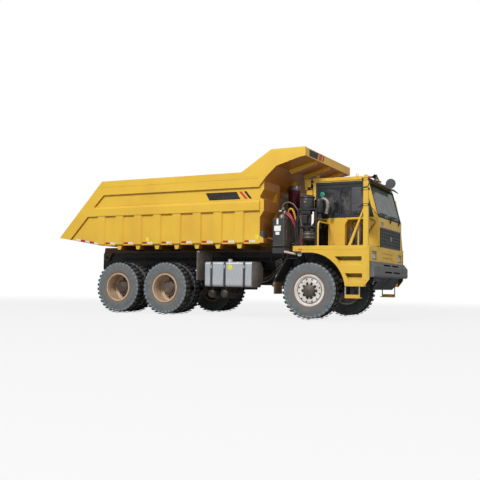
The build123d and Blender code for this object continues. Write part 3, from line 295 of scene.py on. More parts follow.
def ribbon(points, push, thickness, angle=35):
    """A strip of plate: a line of points drawn out by push and given its thickness."""
    made = chain(points)
    bpy.ops.mesh.select_all(action="SELECT")
    bpy.ops.mesh.extrude_region_move(TRANSFORM_OT_translate={"value": Vector(push)})
    bpy.ops.object.mode_set(mode="OBJECT")
    wall = made.modifiers.new("wall", "SOLIDIFY")
    wall.thickness = thickness
    wall.offset = 0
    wall.use_even_offset = True
    pick(made)
    bpy.ops.object.modifier_apply(modifier="wall")
    bpy.ops.object.mode_set(mode="EDIT")
    bpy.ops.mesh.select_all(action="SELECT")
    bpy.ops.mesh.normals_make_consistent(inside=False)
    bpy.ops.object.mode_set(mode="OBJECT")
    smooth(made, angle)
    return made


def ring_plate(points, width, push, bevel=0.0):
    """A flat frame: an outline with its middle cut out, pushed out to its depth."""
    made = chain(points)
    bpy.ops.mesh.select_all(action="SELECT")
    bpy.ops.mesh.edge_face_add()
    bpy.ops.mesh.select_mode(type="FACE")
    bpy.ops.mesh.select_all(action="SELECT")
    bpy.ops.mesh.inset(thickness=width)
    bpy.ops.mesh.delete(type="FACE")
    bpy.ops.mesh.select_all(action="SELECT")
    bpy.ops.mesh.extrude_region_move(TRANSFORM_OT_translate={"value": Vector(push)})
    bpy.ops.mesh.select_all(action="SELECT")
    bpy.ops.mesh.normals_make_consistent(inside=False)
    if bevel:
        bpy.ops.mesh.bevel(offset=bevel, segments=2, affect="EDGES")
    bpy.ops.object.mode_set(mode="OBJECT")
    return made


def hose(points, radius, sides=3):
    """A hose or pipe that runs in a smooth line and is held at both ends."""
    line = bpy.data.curves.new("hose", "CURVE")
    line.dimensions = "3D"
    line.bevel_depth = radius
    line.bevel_resolution = sides
    line.resolution_u = 6
    line.use_fill_caps = True
    run = line.splines.new("NURBS")
    run.points.add(len(points) - 1)
    for knot, place in zip(run.points, points):
        knot.co = (*place, 1)
    run.order_u = 3
    run.use_endpoint_u = True
    made = bpy.data.objects.new("hose", line)
    bpy.context.scene.collection.objects.link(made)
    pick(made)
    bpy.ops.object.convert(target="MESH")
    smooth(bpy.context.object, 60)
    return bpy.context.object


def turned(profile, centre, axis, steps=48):
    """A profile of (radius, place along the axis) spun about a line through centre."""
    axis = Vector(axis)
    side = Vector((0, 0, 1)) if abs(axis.z) < 0.5 else Vector((1, 0, 0))
    centre = Vector(centre)
    made = chain([centre + side * r + axis * a for r, a in profile])
    bpy.ops.mesh.select_all(action="SELECT")
    bpy.ops.mesh.spin(steps=steps, dupli=False, angle=math.tau, center=centre, axis=axis)
    bpy.ops.mesh.select_all(action="SELECT")
    bpy.ops.mesh.remove_doubles(threshold=0.00005)
    bpy.ops.mesh.normals_make_consistent(inside=False)
    bpy.ops.object.mode_set(mode="OBJECT")
    smooth(made)
    return made


def joined(pieces):
    """Several meshes made one."""
    pick(pieces[0])
    for other in pieces[1:]:
        other.select_set(True)
    bpy.ops.object.join()
    return bpy.context.object


def copies(piece, moves):
    """The piece set down at each place, every copy with its own mesh, and all made one."""
    made = []
    for move in moves:
        again = bpy.data.objects.new(piece.name, piece.data.copy())
        again.data.transform(move)
        bpy.context.scene.collection.objects.link(again)
        made.append(again)
    bpy.data.objects.remove(piece)
    return joined(made)


def bolt(radius):
    """A hexagon head on its washer, standing on the origin and facing up."""
    bpy.ops.object.select_all(action="DESELECT")
    bpy.ops.mesh.primitive_cylinder_add(vertices=6, radius=radius, depth=radius * 0.8,
                                        location=(0, 0, radius * 0.55))
    head = bpy.context.object
    bpy.ops.object.transform_apply(location=True, rotation=True, scale=True)
    for face in head.data.polygons:
        face.select = face.normal.z > 0.9
    bpy.ops.object.mode_set(mode="EDIT")
    bpy.ops.mesh.select_mode(type="FACE")
    bpy.ops.mesh.inset(thickness=radius * 0.16, depth=radius * 0.1)
    bpy.ops.object.mode_set(mode="OBJECT")
    bpy.ops.mesh.primitive_cylinder_add(vertices=12, radius=radius * 1.35, depth=radius * 0.2,
                                        location=(0, 0, radius * 0.1))
    washer = bpy.context.object
    bpy.ops.object.transform_apply(location=True, rotation=True, scale=True)
    return joined([head, washer])


def bolts(name, places, way, radius, body, slot, finish):
    """Bolt heads at several places, all facing one way."""
    turn = Vector(way).to_track_quat("Z", "Y").to_matrix().to_4x4()
    return settle(copies(bolt(radius), [Matrix.Translation(place) @ turn for place in places]), name, body,
                  slot, finish)


rail_y = 0.450
rail_bolts = [(REAR_AXLE - 1.2 + 0.31 * i, side * rail_y, z) for i in range(22) for side in (-1, 1)
              for z in (1.27, 1.58) if i % 4 != 2 and (i or z < 1.5)]
for side in (-1, 1):
    bolts(f"rail_bolts_{'left' if side > 0 else 'right'}", [p for p in rail_bolts if p[1] * side > 0],
          (0, side, 0), 0.016, "chassis", "black_paint", CHASSIS)
    bolts(f"hanger_bolts_{'left' if side > 0 else 'right'}", [(FRONT_AXLE + x, side * 0.510, z)
            for x, z in ((-1.27, 1.36), (-1.20, 1.42), (-1.12, 1.27), (-0.95, 1.27), (-1.23, 1.06),
            (-0.93, 1.06))], (0, side, 0), 0.018, "chassis", "iron", CASTING)


# Off-road tyres, six hubs of them: bias-ply carcasses with deep shoulder lugs, moulded in black
# rubber that has gone blue-grey with road dust. They are pressed on over the rim's flanges.
TYRE_R = 0.685
LUGS = 36
FRONT_WHEEL_Y = 1.340
TWIN_Y = (1.0225, 1.4625)
rubber = Finish("dusty_rubber")
reach = rubber.node("ShaderNodeAttribute", {"attribute_name": "reach"}, None, "Fac")
lug = rubber.node("ShaderNodeAttribute", {"attribute_name": "lug"}, None, "Fac")
mottled = rubber.cloud(9, 5, 0.6).band(0.3, 0.7)
grit = rubber.cloud(60, 4, 0.7).band(0.45, 0.75)
smears = rubber.cloud(2.2, 4, 0.6).band(0.35, 0.7)
flecks = rubber.cloud(24, 3, 0.7).band(0.55, 0.68)
side_grey = rubber.mix(mottled * 0.6 + grit * 0.3, tone(92, 101, 106), tone(122, 125, 122))
brown_ring = 1 - (reach + smears * 0.03).band(0.42, 0.535)
side_wall = rubber.mix(brown_ring * 0.8, side_grey, tone(120, 106, 96))
# Painted shade: the tread base between the lugs is near black, standing in for the shadow between them
painted_shade_between_lugs = rubber.mix(grit * 0.5, tone(40, 39, 38), tone(76, 72, 66))
shell = rubber.mix(reach.band(0.636, 0.650), side_wall, painted_shade_between_lugs)
across, along, lift = rubber.facing()
sideways = along.maths("ABSOLUTE", along).band(0.3, 0.75)
treads = rubber.mix(grit * 0.5 + mottled * 0.3, tone(96, 98, 98), tone(146, 144, 138))
shoulders = rubber.mix(grit * 0.4 + mottled * 0.4, tone(108, 114, 116), tone(156, 156, 150))
lugs = rubber.mix(flecks * 0.5, rubber.mix(sideways, treads, shoulders), tone(192, 190, 184))
all_over = rubber.mix(lug, shell, lugs)
rings = rubber.node("ShaderNodeTexWave", {"wave_type": "BANDS", "wave_profile": "SIN"},
                    {"Vector": rubber.node("ShaderNodeCombineXYZ", None, {"X": reach}), "Scale": 18.0}, "Fac")
rubber.finished(all_over, mottled * 0.12 + 0.74, grit * 0.6 + rings * 0.25, 0.002, 0.35)


def lug_block(width, leaned):
    """One shoulder lug at the top of the tyre: a tapered block, with a foot that runs down the side wall."""
    crown = panel([(-width * 0.5, 0.178, 0.640), (width * 0.5, 0.178, 0.640), (width * 0.52, 0.120, 0.648),
                   (width * 0.36 + leaned, 0.058, 0.650), (width * 0.10 + leaned, 0.012, 0.650),
                   (-width * 0.28 + leaned, 0.026, 0.650), (-width * 0.46, 0.092, 0.648)], (0, 0, 0.001))
    pick(crown)
    for face in crown.data.polygons:
        face.select = face.normal.z > 0.7
    bpy.ops.object.mode_set(mode="EDIT")
    bpy.ops.mesh.select_mode(type="FACE")
    bpy.ops.mesh.extrude_region_move(TRANSFORM_OT_translate={"value": (0, 0, 0.030)})
    bpy.ops.transform.resize(value=(0.90, 0.97, 1), center_override=(0, 0.1, 0.68))
    bpy.ops.object.mode_set(mode="OBJECT")
    for vertex in crown.data.vertices:
        if vertex.co.z > 0.655:
            vertex.co.z = TYRE_R
    foot = panel([(-width * 0.46, 0.150, 0.655), (-width * 0.46, 0.1785, 0.648), (-width * 0.46, 0.1865, 0.630),
                  (-width * 0.46, 0.1870, 0.606), (-width * 0.46, 0.180, 0.588), (-width * 0.46, 0.150, 0.588)],
                 (width * 0.92, 0, 0), 0.003)
    return joined([crown, foot])


def one_tyre():
    """A tyre about the Y axis at the origin, with its distance from the axle kept on each vertex."""
    half = [(0.353, 0.150), (0.352, 0.166), (0.372, 0.172), (0.386, 0.1715), (0.394, 0.177), (0.425, 0.1835),
            (0.470, 0.1872), (0.520, 0.1874), (0.560, 0.1850), (0.600, 0.1790), (0.632, 0.170), (0.650, 0.158),
            (0.655, 0.120), (0.656, 0.050)]
    shell = turned(half + [(r, -a) for r, a in reversed(half)], (0, 0, 0), (0, 1, 0), 72)
    near = copies(lug_block(0.078, 0.012), [Matrix.Rotation(math.tau * i / LUGS, 4, "Y") for i in range(LUGS)])
    marked = near.data.attributes.new("lug", "FLOAT", "POINT")
    marked.data.foreach_set("value", [1.0] * len(near.data.vertices))
    far = bpy.data.objects.new("far_lugs", near.data.copy())
    bpy.context.scene.collection.objects.link(far)
    far.data.transform(Matrix.Rotation(math.tau * 0.5 / LUGS, 4, "Y") @ Matrix.Rotation(math.pi, 4, "Z"))
    tyre = joined([shell, near, far])
    distance = tyre.data.attributes.new("reach", "FLOAT", "POINT")
    for vertex, entry in zip(tyre.data.vertices, distance.data):
        entry.value = math.hypot(vertex.co.x, vertex.co.z)
    return tyre


wheels = [("front", FRONT_AXLE, (FRONT_WHEEL_Y,)), ("rear_1", MIDDLE_AXLE, TWIN_Y),
          ("rear_2", REAR_AXLE, TWIN_Y)]
for group, axle_x, rows in wheels:
    for hand, side in (("left", 1), ("right", -1)):
        grounded = [Matrix.Translation((axle_x, side * y, TYRE_R)) for y in rows]
        settle(copies(one_tyre(), grounded), f"tyres_{group}_{hand}", f"wheel_{group}_{hand}", "tyre", rubber,
               f"tyre_{group}_{hand}")


# Rims: pressed steel discs in welded bases, enamelled off-white in front and cream behind. The
# studs and nuts stand round the hub, whose cap is bare cast iron with grease and dust on it.
def wheel_enamel(name, colour, faded):
    paint = Finish(name)
    patches = paint.cloud(4, 4).band(0.35, 0.7)
    chips = paint.cloud(38, 5, 0.75).band(0.62, 0.7)
    film = paint.cloud(7, 5, 0.65).band(0.35, 0.75)
    body = paint.mix(patches, colour, faded)
    dusty = paint.mix(film * 0.5, body, tone(150, 132, 110))
    rusted = paint.mix(chips * 0.55, dusty, tone(96, 62, 42))
    return paint.finished(rusted, film * 0.3 + 0.42, chips * -1, 0.001, 0.3)


FRONT_RIM = wheel_enamel("rim_off_white", tone(242, 236, 230), tone(224, 216, 208))
REAR_RIM = wheel_enamel("rim_cream", tone(216, 188, 158), tone(190, 158, 128))
HUB = enamel("hub_casting", tone(64, 56, 54), tone(100, 88, 82), 0.45, 0.7, 0.2, 1.4)
GREASE = enamel("dark_grease", tone(30, 27, 26), tone(46, 42, 40), 0.5, 0.3, 0.2, 1.4)
for group, axle_x, rows in wheels:
    for hand, side in (("left", 1), ("right", -1)):
        dress(FRONT_RIM if group == "front" else REAR_RIM, f"rim_{group}_{hand}")
        body = f"wheel_{group}_{hand}"
        out = Vector((0, side, 0))
        if group == "front":
            centre = Vector((axle_x, side * FRONT_WHEEL_Y, TYRE_R))
            nut_circle, nut_face, nuts, nut_size = 0.172, 0.164, 10, 0.023
            cap_profile = [(AXIS, 0.262), (0.052, 0.262), (0.060, 0.257), (0.094, 0.256), (0.104, 0.249),
                           (0.118, 0.242), (0.134, 0.232), (0.142, 0.215), (0.146, 0.196), (0.147, 0.150),
                           (AXIS, 0.150)]
            face_plate = turned([(0.140, 0.150), (0.140, 0.163), (0.205, 0.166), (0.270, 0.166), (0.284, 0.162),
                                 (0.291, 0.153), (0.292, 0.150), (0.140, 0.150)], centre, out, 72)
            base_ring = turned([(0.312, 0.150), (0.315, 0.159), (0.330, 0.166), (0.352, 0.176), (0.370, 0.183),
                                (0.374, 0.180), (0.374, 0.174), (0.330, 0.150), (0.312, 0.150)], centre, out,
                               72)
            settle(joined([face_plate, base_ring]), f"wheel_disc_{hand}", body, "rim_paint", FRONT_RIM)
            # Painted shade: a thin dark ring laid in the gap between the disc face and the base ring stands in
            # for the groove's shadow
            settle(turned([(0.290, 0.150), (0.290, 0.1512), (0.306, 0.1512), (0.306, 0.150), (0.290, 0.150)],
                          centre, out, 72), f"painted_groove_shade_{hand}", body, "iron", CASTING)
        else:
            centre = Vector((axle_x, side * (TWIN_Y[0] + TWIN_Y[1]) / 2, TYRE_R))
            nut_circle, nut_face, nuts, nut_size = 0.245, 0.022, 10, 0.019
            cap_profile = [(AXIS, 0.216), (0.070, 0.216), (0.078, 0.209), (0.122, 0.208), (0.130, 0.202),
                           (0.138, 0.180), (0.172, 0.172), (0.191, 0.154), (0.197, 0.060), (0.220, 0.030),
                           (AXIS, 0.026)]
        settle(turned(cap_profile, centre, out, 40), f"hub_cap_{group}_{hand}", body, "iron", HUB)
        ring = [Matrix.Rotation(math.tau * (i + 0.5) / nuts, 4, "Y") @ Vector((0, 0, nut_circle))
                for i in range(nuts)]
        bolts(f"wheel_nuts_{group}_{hand}", [centre + spoke + out * nut_face for spoke in ring], out, nut_size,
              body, "iron", GREASE)
        studs = [rod(centre + spoke + out * nut_face, centre + spoke + out * (nut_face + 0.044),
                     nut_size * 0.55, 8, 0.003) for spoke in ring]
        settle(joined(studs), f"wheel_studs_{group}_{hand}", body, "iron", GREASE)
        if group == "front":
            # Painted shade: twelve shallow dark discs on the disc face stand in for the shade inside the disc's
            # holes
            hole_ring = [Matrix.Rotation(math.tau * (i + 0.5) / 12, 4, "Y") @ Vector((0, 0, 0.262))
                          for i in range(12)]
            painted_hole_shades = [turned([(AXIS, 0.0012), (0.015, 0.0012), (0.0165, 0.002), (0.018, 0.002), (0.0195, 0.0)],
                            centre + spoke + out * 0.166, out, 14) for spoke in hole_ring]
            settle(joined(painted_hole_shades), f"rim_hole_shades_{hand}", body, "iron", GREASE)
        lip = turned([(0.340, 0.0), (0.352, 0.002), (0.366, 0.004), (0.373, 0.0), (0.373, -0.008),
                      (0.350, -0.006)], centre + out * (0.180 if group == "front"
                else (TWIN_Y[1] - TWIN_Y[0]) / 2 + 0.180), out, 72)
        settle(lip, f"lock_ring_{group}_{hand}", body, "rim_paint", FRONT_RIM if group == "front" else REAR_RIM)


# Fuel tank on the right: folded aluminium sheet with its end plates welded in, brushed and dusty.
# Three steel straps over rubber hold it down, and the air tanks hang on a bar under it.
TANK_X = (0.210, 1.505)
TANK_NEAR, TANK_FAR = -1.600, -0.950
TANK_LOW, TANK_TOP = 0.740, 1.360
CORNER = 0.060
aluminium = Finish("brushed_aluminium", metallic=0.75)
across, along, lift = aluminium.facing()
east, north, height = aluminium.split(aluminium.place)
brushed = aluminium.cloud(1, 3, 0.6, aluminium.stretched((150, 150, 4))).band(0.3, 0.7)
# Dust low down and on top, and painted shade: the end facing forward is painted brown-grey as if in shadow
tank_dust_and_end_shade = (1 - height.band(0.74, 1.02)) * 0.5 + across.band(0.3, 0.9) * 0.85 + lift.band(0.4, 0.9) * 0.3
tank_dust_and_end_shade = tank_dust_and_end_shade * (aluminium.cloud(5, 4, 0.6).band(0.2, 0.7) * 0.5 + 0.5)
bright = aluminium.mix(brushed, tone(196, 202, 210), tone(232, 234, 236))
tank_film_and_end_shade = aluminium.mix(tank_dust_and_end_shade.band(0, 1.1), bright, tone(134, 120, 108))
baffles = [1 - (east - x).maths("ABSOLUTE", east - x).band(0.004, 0.012) for x in (0.585, 1.095)]
aluminium.wire(aluminium.surface.inputs["Metallic"], 0.75 - tank_dust_and_end_shade.band(0, 1.1) * 0.7)
aluminium.finished(tank_film_and_end_shade, tank_dust_and_end_shade * 0.3 + brushed * 0.08 + 0.34, brushed * 0.15 + baffles[0] + baffles[1],
                   0.003, 0.6)
dress(aluminium, "fuel_tank")
STRAP_BLACK = enamel("strap_black", tone(52, 53, 56), tone(74, 73, 72), 0.5, 0.4, 0.4, 1.5)


def round_tank(stand_off):
    """The way round the tank's near side in Y and Z, a small distance off its sheet."""
    reach = CORNER + stand_off
    line = [(TANK_FAR - 0.15, TANK_TOP + stand_off)]
    for step in range(5):
        angle = math.radians(22.5 * step)
        line.append((TANK_NEAR + CORNER - reach * math.sin(angle), TANK_TOP - CORNER + reach * math.cos(angle)))
    for step in range(5):
        angle = math.radians(22.5 * step)
        line.append((TANK_NEAR + CORNER - reach * math.cos(angle), TANK_LOW + CORNER - reach * math.sin(angle)))
    return line + [(TANK_FAR - 0.15, TANK_LOW - stand_off)]


straps, pads, buckles = [], [], []
for x in (0.390, 0.760, 1.300):
    straps.append(ribbon([(x - 0.024, y, z) for y, z in round_tank(0.008)], (0.048, 0, 0), 0.005))
    pads.append(ribbon([(x - 0.032, y, z) for y, z in round_tank(0.003)], (0.064, 0, 0), 0.005))
    buckles.append(bar((x - 0.020, x + 0.020), (TANK_NEAR - 0.022, TANK_NEAR - 0.009), (1.205, 1.262), 0.004))
    buckles.append(rod((x, TANK_NEAR - 0.018, 1.180), (x, TANK_NEAR - 0.018, 1.292), 0.006, 10, 0.001))
settle(joined(straps), "tank_straps", "chassis", "black_paint", STRAP_BLACK)
settle(joined(pads), "tank_strap_rubbers", "chassis", "black_plastic", STRAP_BLACK)
settle(joined(buckles), "tank_strap_buckles", "chassis", "aluminium", aluminium)
ends = []
for x in (TANK_X[0] + 0.004, TANK_X[1] - 0.004):
    ends.append(ribbon([(x - 0.006, y, z) for y, z in round_tank(0.002)], (0.012, 0, 0), 0.006, 50))
settle(joined(ends), "tank_end_welds", "chassis", "aluminium", aluminium)
FILLER = Vector((0.803, -1.380, 1.360))
cap = turned([(AXIS, 0.074), (0.030, 0.074), (0.046, 0.070), (0.056, 0.062), (0.062, 0.056), (0.064, 0.030),
              (0.058, 0.026), (0.058, 0.012), (0.070, 0.008), (0.072, 0.0), (AXIS, 0.0)], FILLER, (0, 0, 1), 32)
settle(cap, "tank_cap", "chassis", "aluminium", aluminium)
bolts("tank_cap_screws", [FILLER + Vector((0.066 * math.cos(a), 0.066 * math.sin(a), 0.006))
                          for a in (0.3, 1.56, 2.8, 4.1, 5.3)], (0, 0, 1), 0.006, "chassis", "steel", CASTING)
YELLOW_SIGN = Finish("blank_yellow_sticker")
YELLOW_SIGN.finished(YELLOW_SIGN.mix(YELLOW_SIGN.cloud(20, 3).band(0.3, 0.7), tone(238, 226, 60),
                                     tone(222, 208, 70)), 0.45)
settle(turned([(AXIS, 0.0022), (0.062, 0.0022), (0.066, 0.0016), (0.067, 0.0), (AXIS, 0.0)],
              (0.911, TANK_NEAR, 1.222), (0, -1, 0), 40), "tank_blank_disc", "chassis", "yellow_paint",
       YELLOW_SIGN)
tank_fittings = [turned([(AXIS, 0.03), (0.012, 0.03), (0.014, 0.026), (0.014, 0.012), (0.020, 0.010),
                         (0.020, 0.0), (AXIS, 0.0)], (x, y, TANK_LOW + 0.002), (0, 0, -1), 12)
                 for x, y in ((0.62, -1.35), (1.12, -1.30))]
settle(joined(tank_fittings), "tank_drain_plugs", "chassis", "steel", CASTING)
air_ends, air_welds = [], []
for x in (0.330, 0.690):
    for y, way in ((-1.450, -1), (-0.700, 1)):
        air_ends.append(turned([(AXIS, 0.046), (0.032, 0.044), (0.063, 0.038), (0.088, 0.027), (0.104, 0.011),
                                (0.109, 0.0), (0.109, -0.02)], (x, y, 0.570), (0, way, 0), 32))
        air_welds.append(turned([(0.109, 0.004), (0.1125, 0.0), (0.1135, -0.006), (0.109, -0.012)],
                                (x, y, 0.570), (0, way, 0), 32))
    air_ends.append(turned([(AXIS, 0.026), (0.010, 0.026), (0.012, 0.020), (0.018, 0.018), (0.018, -0.004)],
                           (x + 0.03, -1.080, 0.466), (0, 0, -1), 12))
settle(joined(air_ends + air_welds), "air_tank_ends", "chassis", "black_paint", CHASSIS)
air_straps = []
for x in (0.330, 0.690):
    for y in (-1.30, -0.87):
        air_straps.append(ribbon([(x + 0.1125 * math.sin(math.tau * i / 24), y,
                                   0.570 + 0.1125 * math.cos(math.tau * i / 24)) for i in range(25)],
                                 (0, 0.032, 0), 0.003, 50))
settle(joined(air_straps), "air_tank_straps", "chassis", "steel", STRAP_BLACK)
PIPE_BLACK = enamel("pipe_black", tone(30, 30, 32), tone(52, 50, 48), 0.5, 0.5, 0.4, 1.6)
lines = [hose([(0.330, -0.72, 0.66), (0.34, -0.66, 0.78), (0.52, -0.60, 1.08), (0.60, -0.48, 1.30),
               (0.60, -0.462, 1.34)], 0.011), hose([(0.690, -0.72, 0.66), (0.70, -0.64, 0.80),
        (0.92, -0.58, 1.10), (0.95, -0.48, 1.36), (0.95, -0.462, 1.40)], 0.011),
         hose([(1.495, -1.10, 0.86), (1.58, -1.08, 0.86), (1.70, -0.90, 0.92), (1.78, -0.62, 1.24),
        (1.86, -0.47, 1.32)], 0.014), hose([(1.495, -1.02, 0.94), (1.56, -1.0, 0.95), (1.68, -0.82, 1.02),
        (1.76, -0.58, 1.36), (1.86, -0.47, 1.40)], 0.012)]
settle(joined(lines), "tank_pipes", "chassis", "black_plastic", PIPE_BLACK)
PALE_HOSE = Finish("pale_nylon_hose")
PALE_HOSE.finished(PALE_HOSE.mix(PALE_HOSE.cloud(30, 3).band(0.3, 0.7), tone(178, 172, 162),
                                 tone(150, 140, 128)), 0.5)
settle(hose([(1.905, -1.02, 1.060), (1.903, -1.04, 1.000), (1.895, -1.08, 0.930), (1.870, -1.10, 0.840),
             (1.840, -1.08, 0.780), (1.830, -1.02, 0.760), (1.840, -0.80, 0.800), (1.86, -0.64, 0.98),
             (1.87, -0.515, 1.12)], 0.012), "drain_hose", "chassis", "black_plastic", PALE_HOSE)


# Runs along the rails: a bundle of brake and wiring pipes clipped to the web, with the lines from
# the valves to the rear axles. They are nylon and steel, black with dust.
runs = []
for y, z, radius in ((-0.466, 1.50, 0.014), (-0.468, 1.465, 0.011), (-0.464, 1.436, 0.009),
                     (0.466, 1.50, 0.014),
                     (0.468, 1.462, 0.012)):
    runs.append(hose([(-3.20, y, z), (-2.2, y, z), (-0.8, y, z), (0.9, y, z), (2.0, y, z)], radius))
settle(joined(runs), "rail_pipes", "chassis", "black_plastic", PIPE_BLACK)
clips = [ribbon([(x, side * 0.452, 1.415), (x, side * 0.482, 1.425), (x, side * 0.486, 1.520),
                 (x, side * 0.452, 1.530)], (0.022, 0, 0), 0.003) for x in (-3.1, -2.4, -1.7, -0.9, -0.1, 0.7,
        1.5) for side in (-1, 1)]
settle(joined(clips), "rail_pipe_clips", "chassis", "steel", CASTING)
brake_pots = []
for axle_x in (MIDDLE_AXLE, REAR_AXLE):
    for side in (-1, 1):
        brake_pots.append(turned([(AXIS, 0.0), (0.060, 0.0), (0.086, 0.012), (0.088, 0.070), (0.092, 0.074),
                                  (0.092, 0.086), (0.086, 0.090), (0.080, 0.150), (0.060, 0.172),
                                  (AXIS, 0.176)], (axle_x + 0.115, side * 0.300, 0.800), (0.97, 0, 0.24), 24))
settle(joined(brake_pots), "brake_chambers", "chassis", "iron", CASTING)
rods = []
for axle_x in (MIDDLE_AXLE, REAR_AXLE):
    for side in (-1, 1):
        rods.append(rod((axle_x + (0.62 if axle_x == REAR_AXLE else -0.62), side * 0.36, 0.68),
                        (axle_x + (0.09 if axle_x == REAR_AXLE else -0.09), side * 0.36, 0.66), 0.032, 14,
                        0.004))
settle(joined(rods), "torque_rods", "chassis", "iron", CASTING)


# Hydraulic tank behind the cab: a welded steel box with rounded corners, black on its near face and
# grey-brown with dust in front. Its blank plates are riveted on, and the filler stands on top.
TANK_GREY = enamel("oil_tank_grey", tone(92, 88, 84), tone(118, 108, 98), 0.55, 0.5, 1.5, 2.0)
oil_paint = Finish("oil_tank")
across, along, lift = oil_paint.facing()
near_face = (along * -1).band(0.3, 0.8)
oil_film = oil_paint.cloud(6, 4, 0.6).band(0.3, 0.7)
oil_streaks = oil_paint.cloud(1, 4, 0.6, oil_paint.stretched((14, 14, 1))).band(0.45, 0.8)
oil_front = oil_paint.mix(oil_film * 0.6 + oil_streaks * 0.4, tone(104, 100, 95), tone(140, 130, 118))
oil_near = oil_paint.mix(oil_film * 0.3 + oil_streaks * 0.3, tone(48, 48, 52), tone(78, 76, 74))
oil_paint.finished(oil_paint.mix(near_face, oil_front, oil_near), oil_film * 0.2 + 0.42, oil_film, 0.0006, 0.3)
dress(oil_paint, "hydraulic_tank")
PLATE_WHITE = Finish("blank_white_plate")
PLATE_WHITE.finished(PLATE_WHITE.mix(PLATE_WHITE.cloud(30, 3).band(0.3, 0.7), tone(250, 250, 248),
                                     tone(232, 230, 226)), 0.4)
labels = []
for x, z, width, tall in ((2.108, 2.338, 0.046, 0.150), (2.110, 2.168, 0.176, 0.128),
                          (2.112, 2.048, 0.100, 0.074)):
    labels.append(bar((x - width / 2, x + width / 2), (-1.453, -1.448), (z - tall / 2, z + tall / 2), 0.0012,
                      1))
settle(joined(labels), "oil_tank_blank_plates", "chassis", "steel", PLATE_WHITE)
oil_seams = [ribbon([(1.968, -1.41, z), (1.968, -0.74, z), (2.0, -0.698, z), (2.23, -0.698, z),
                     (2.262, -0.74, z), (2.262, -1.41, z), (2.22, -1.452, z), (2.01, -1.452, z),
                     (1.968, -1.41, z)], (0, 0, 0.012), 0.006) for z in (1.752, 2.388)]
settle(joined(oil_seams), "oil_tank_seams", "chassis", "black_paint", TANK_GREY)
STEEL_CAP = Finish("zinc_steel", metallic=0.7)
STEEL_CAP.finished(STEEL_CAP.mix(STEEL_CAP.cloud(25, 4).band(0.3, 0.7), tone(186, 182, 176),
                                 tone(128, 118, 108)), STEEL_CAP.cloud(60, 3) * 0.2 + 0.35,
                   STEEL_CAP.cloud(80, 3), 0.0005, 0.3)
filler = turned([(AXIS, 0.128), (0.030, 0.128), (0.052, 0.120), (0.072, 0.106), (0.076, 0.080), (0.072, 0.066),
                 (0.084, 0.060), (0.086, 0.044), (0.072, 0.038), (0.072, 0.010), (0.096, 0.008), (0.098, 0.0),
                 (AXIS, 0.0)], (2.115, -1.180, 2.408), (0, 0, 1), 32)
settle(filler, "oil_filler_cap", "chassis", "steel", STEEL_CAP)
gauge = joined([bar((2.258, 2.272), (-1.26, -1.22), (1.90, 2.14), 0.005),
                turned([(AXIS, 0.014), (0.011, 0.014), (0.016, 0.008), (0.016, 0.0), (AXIS, 0.0)],
                       (2.262, -1.24, 1.925), (1, 0, 0), 12),
                turned([(AXIS, 0.014), (0.011, 0.014), (0.016, 0.008), (0.016, 0.0), (AXIS, 0.0)],
                       (2.262, -1.24, 2.115), (1, 0, 0), 12)])
settle(gauge, "oil_level_gauge", "chassis", "steel", STEEL_CAP)
valve_block = joined([bar((2.05, 2.19), (-1.02, -0.86), (2.408, 2.500), 0.008),
                      rod((2.12, -1.0, 2.49), (2.12, -1.0, 2.545), 0.026, 6, 0.003),
                      rod((2.08, -0.90, 2.49), (2.08, -0.90, 2.560), 0.018, 6, 0.003),
                      rod((2.17, -0.90, 2.49), (2.17, -0.90, 2.535), 0.022, 6, 0.003)])
settle(valve_block, "oil_valve_block", "chassis", "iron", CASTING)
bolts("oil_cover_bolts", [(2.115 + 0.088 * math.cos(math.tau * i / 8),
                           -1.180 + 0.088 * math.sin(math.tau * i / 8), 2.414) for i in range(8)], (0, 0, 1),
      0.008, "chassis", "steel", CASTING)
grey_hose = Finish("grey_braided_hose")
braid = grey_hose.node("ShaderNodeTexWave", {"wave_type": "BANDS", "bands_direction": "DIAGONAL"},
                       {"Vector": grey_hose.place, "Scale": 60.0}, "Fac")
grey_hose.finished(grey_hose.mix(braid, tone(150, 146, 140), tone(96, 92, 88)), 0.55, braid, 0.001, 0.5)
settle(hose([(2.08, -0.96, 2.52), (2.02, -0.98, 2.64), (2.03, -1.00, 2.78), (2.14, -1.00, 2.86),
             (2.32, -1.02, 2.82), (2.46, -1.06, 2.66), (2.54, -1.06, 2.46), (2.58, -1.02, 2.20),
             (2.56, -0.90, 1.90), (2.56, -0.78, 1.76)], 0.013), "vent_hose", "chassis", "black_plastic",
       grey_hose)
YELLOW_HOSE = Finish("yellow_pipe")
YELLOW_HOSE.finished(YELLOW_HOSE.mix(YELLOW_HOSE.cloud(24, 3).band(0.3, 0.7), tone(238, 190, 84),
                                     tone(206, 150, 66)), 0.4)
settle(hose([(2.14, -0.90, 2.50), (2.17, -0.94, 2.62), (2.24, -1.00, 2.695), (2.32, -1.02, 2.66),
             (2.37, -1.02, 2.55), (2.40, -1.0, 2.40), (2.42, -0.90, 2.20), (2.42, -0.80, 1.90)], 0.024),
       "return_pipe", "chassis", "steel", YELLOW_HOSE)
RED_HOSE = Finish("red_rubber_hose")
RED_HOSE.finished(RED_HOSE.mix(RED_HOSE.cloud(24, 3).band(0.3, 0.7), tone(206, 78, 92), tone(160, 52, 66)),
                  0.45)
settle(joined([hose([(2.12, -1.0, 2.50), (2.15, -1.02 - lean, 2.58), (2.25, -1.02 - lean, 2.55 - lean),
                     (2.33, -1.04 - lean, 2.42), (2.40, -1.04, 2.24), (2.45, -1.0, 2.05), (2.50, -0.92, 1.80)],
                    0.024, 4) for lean in (0.0, 0.06)]), "pressure_hoses", "chassis", "black_plastic", RED_HOSE)
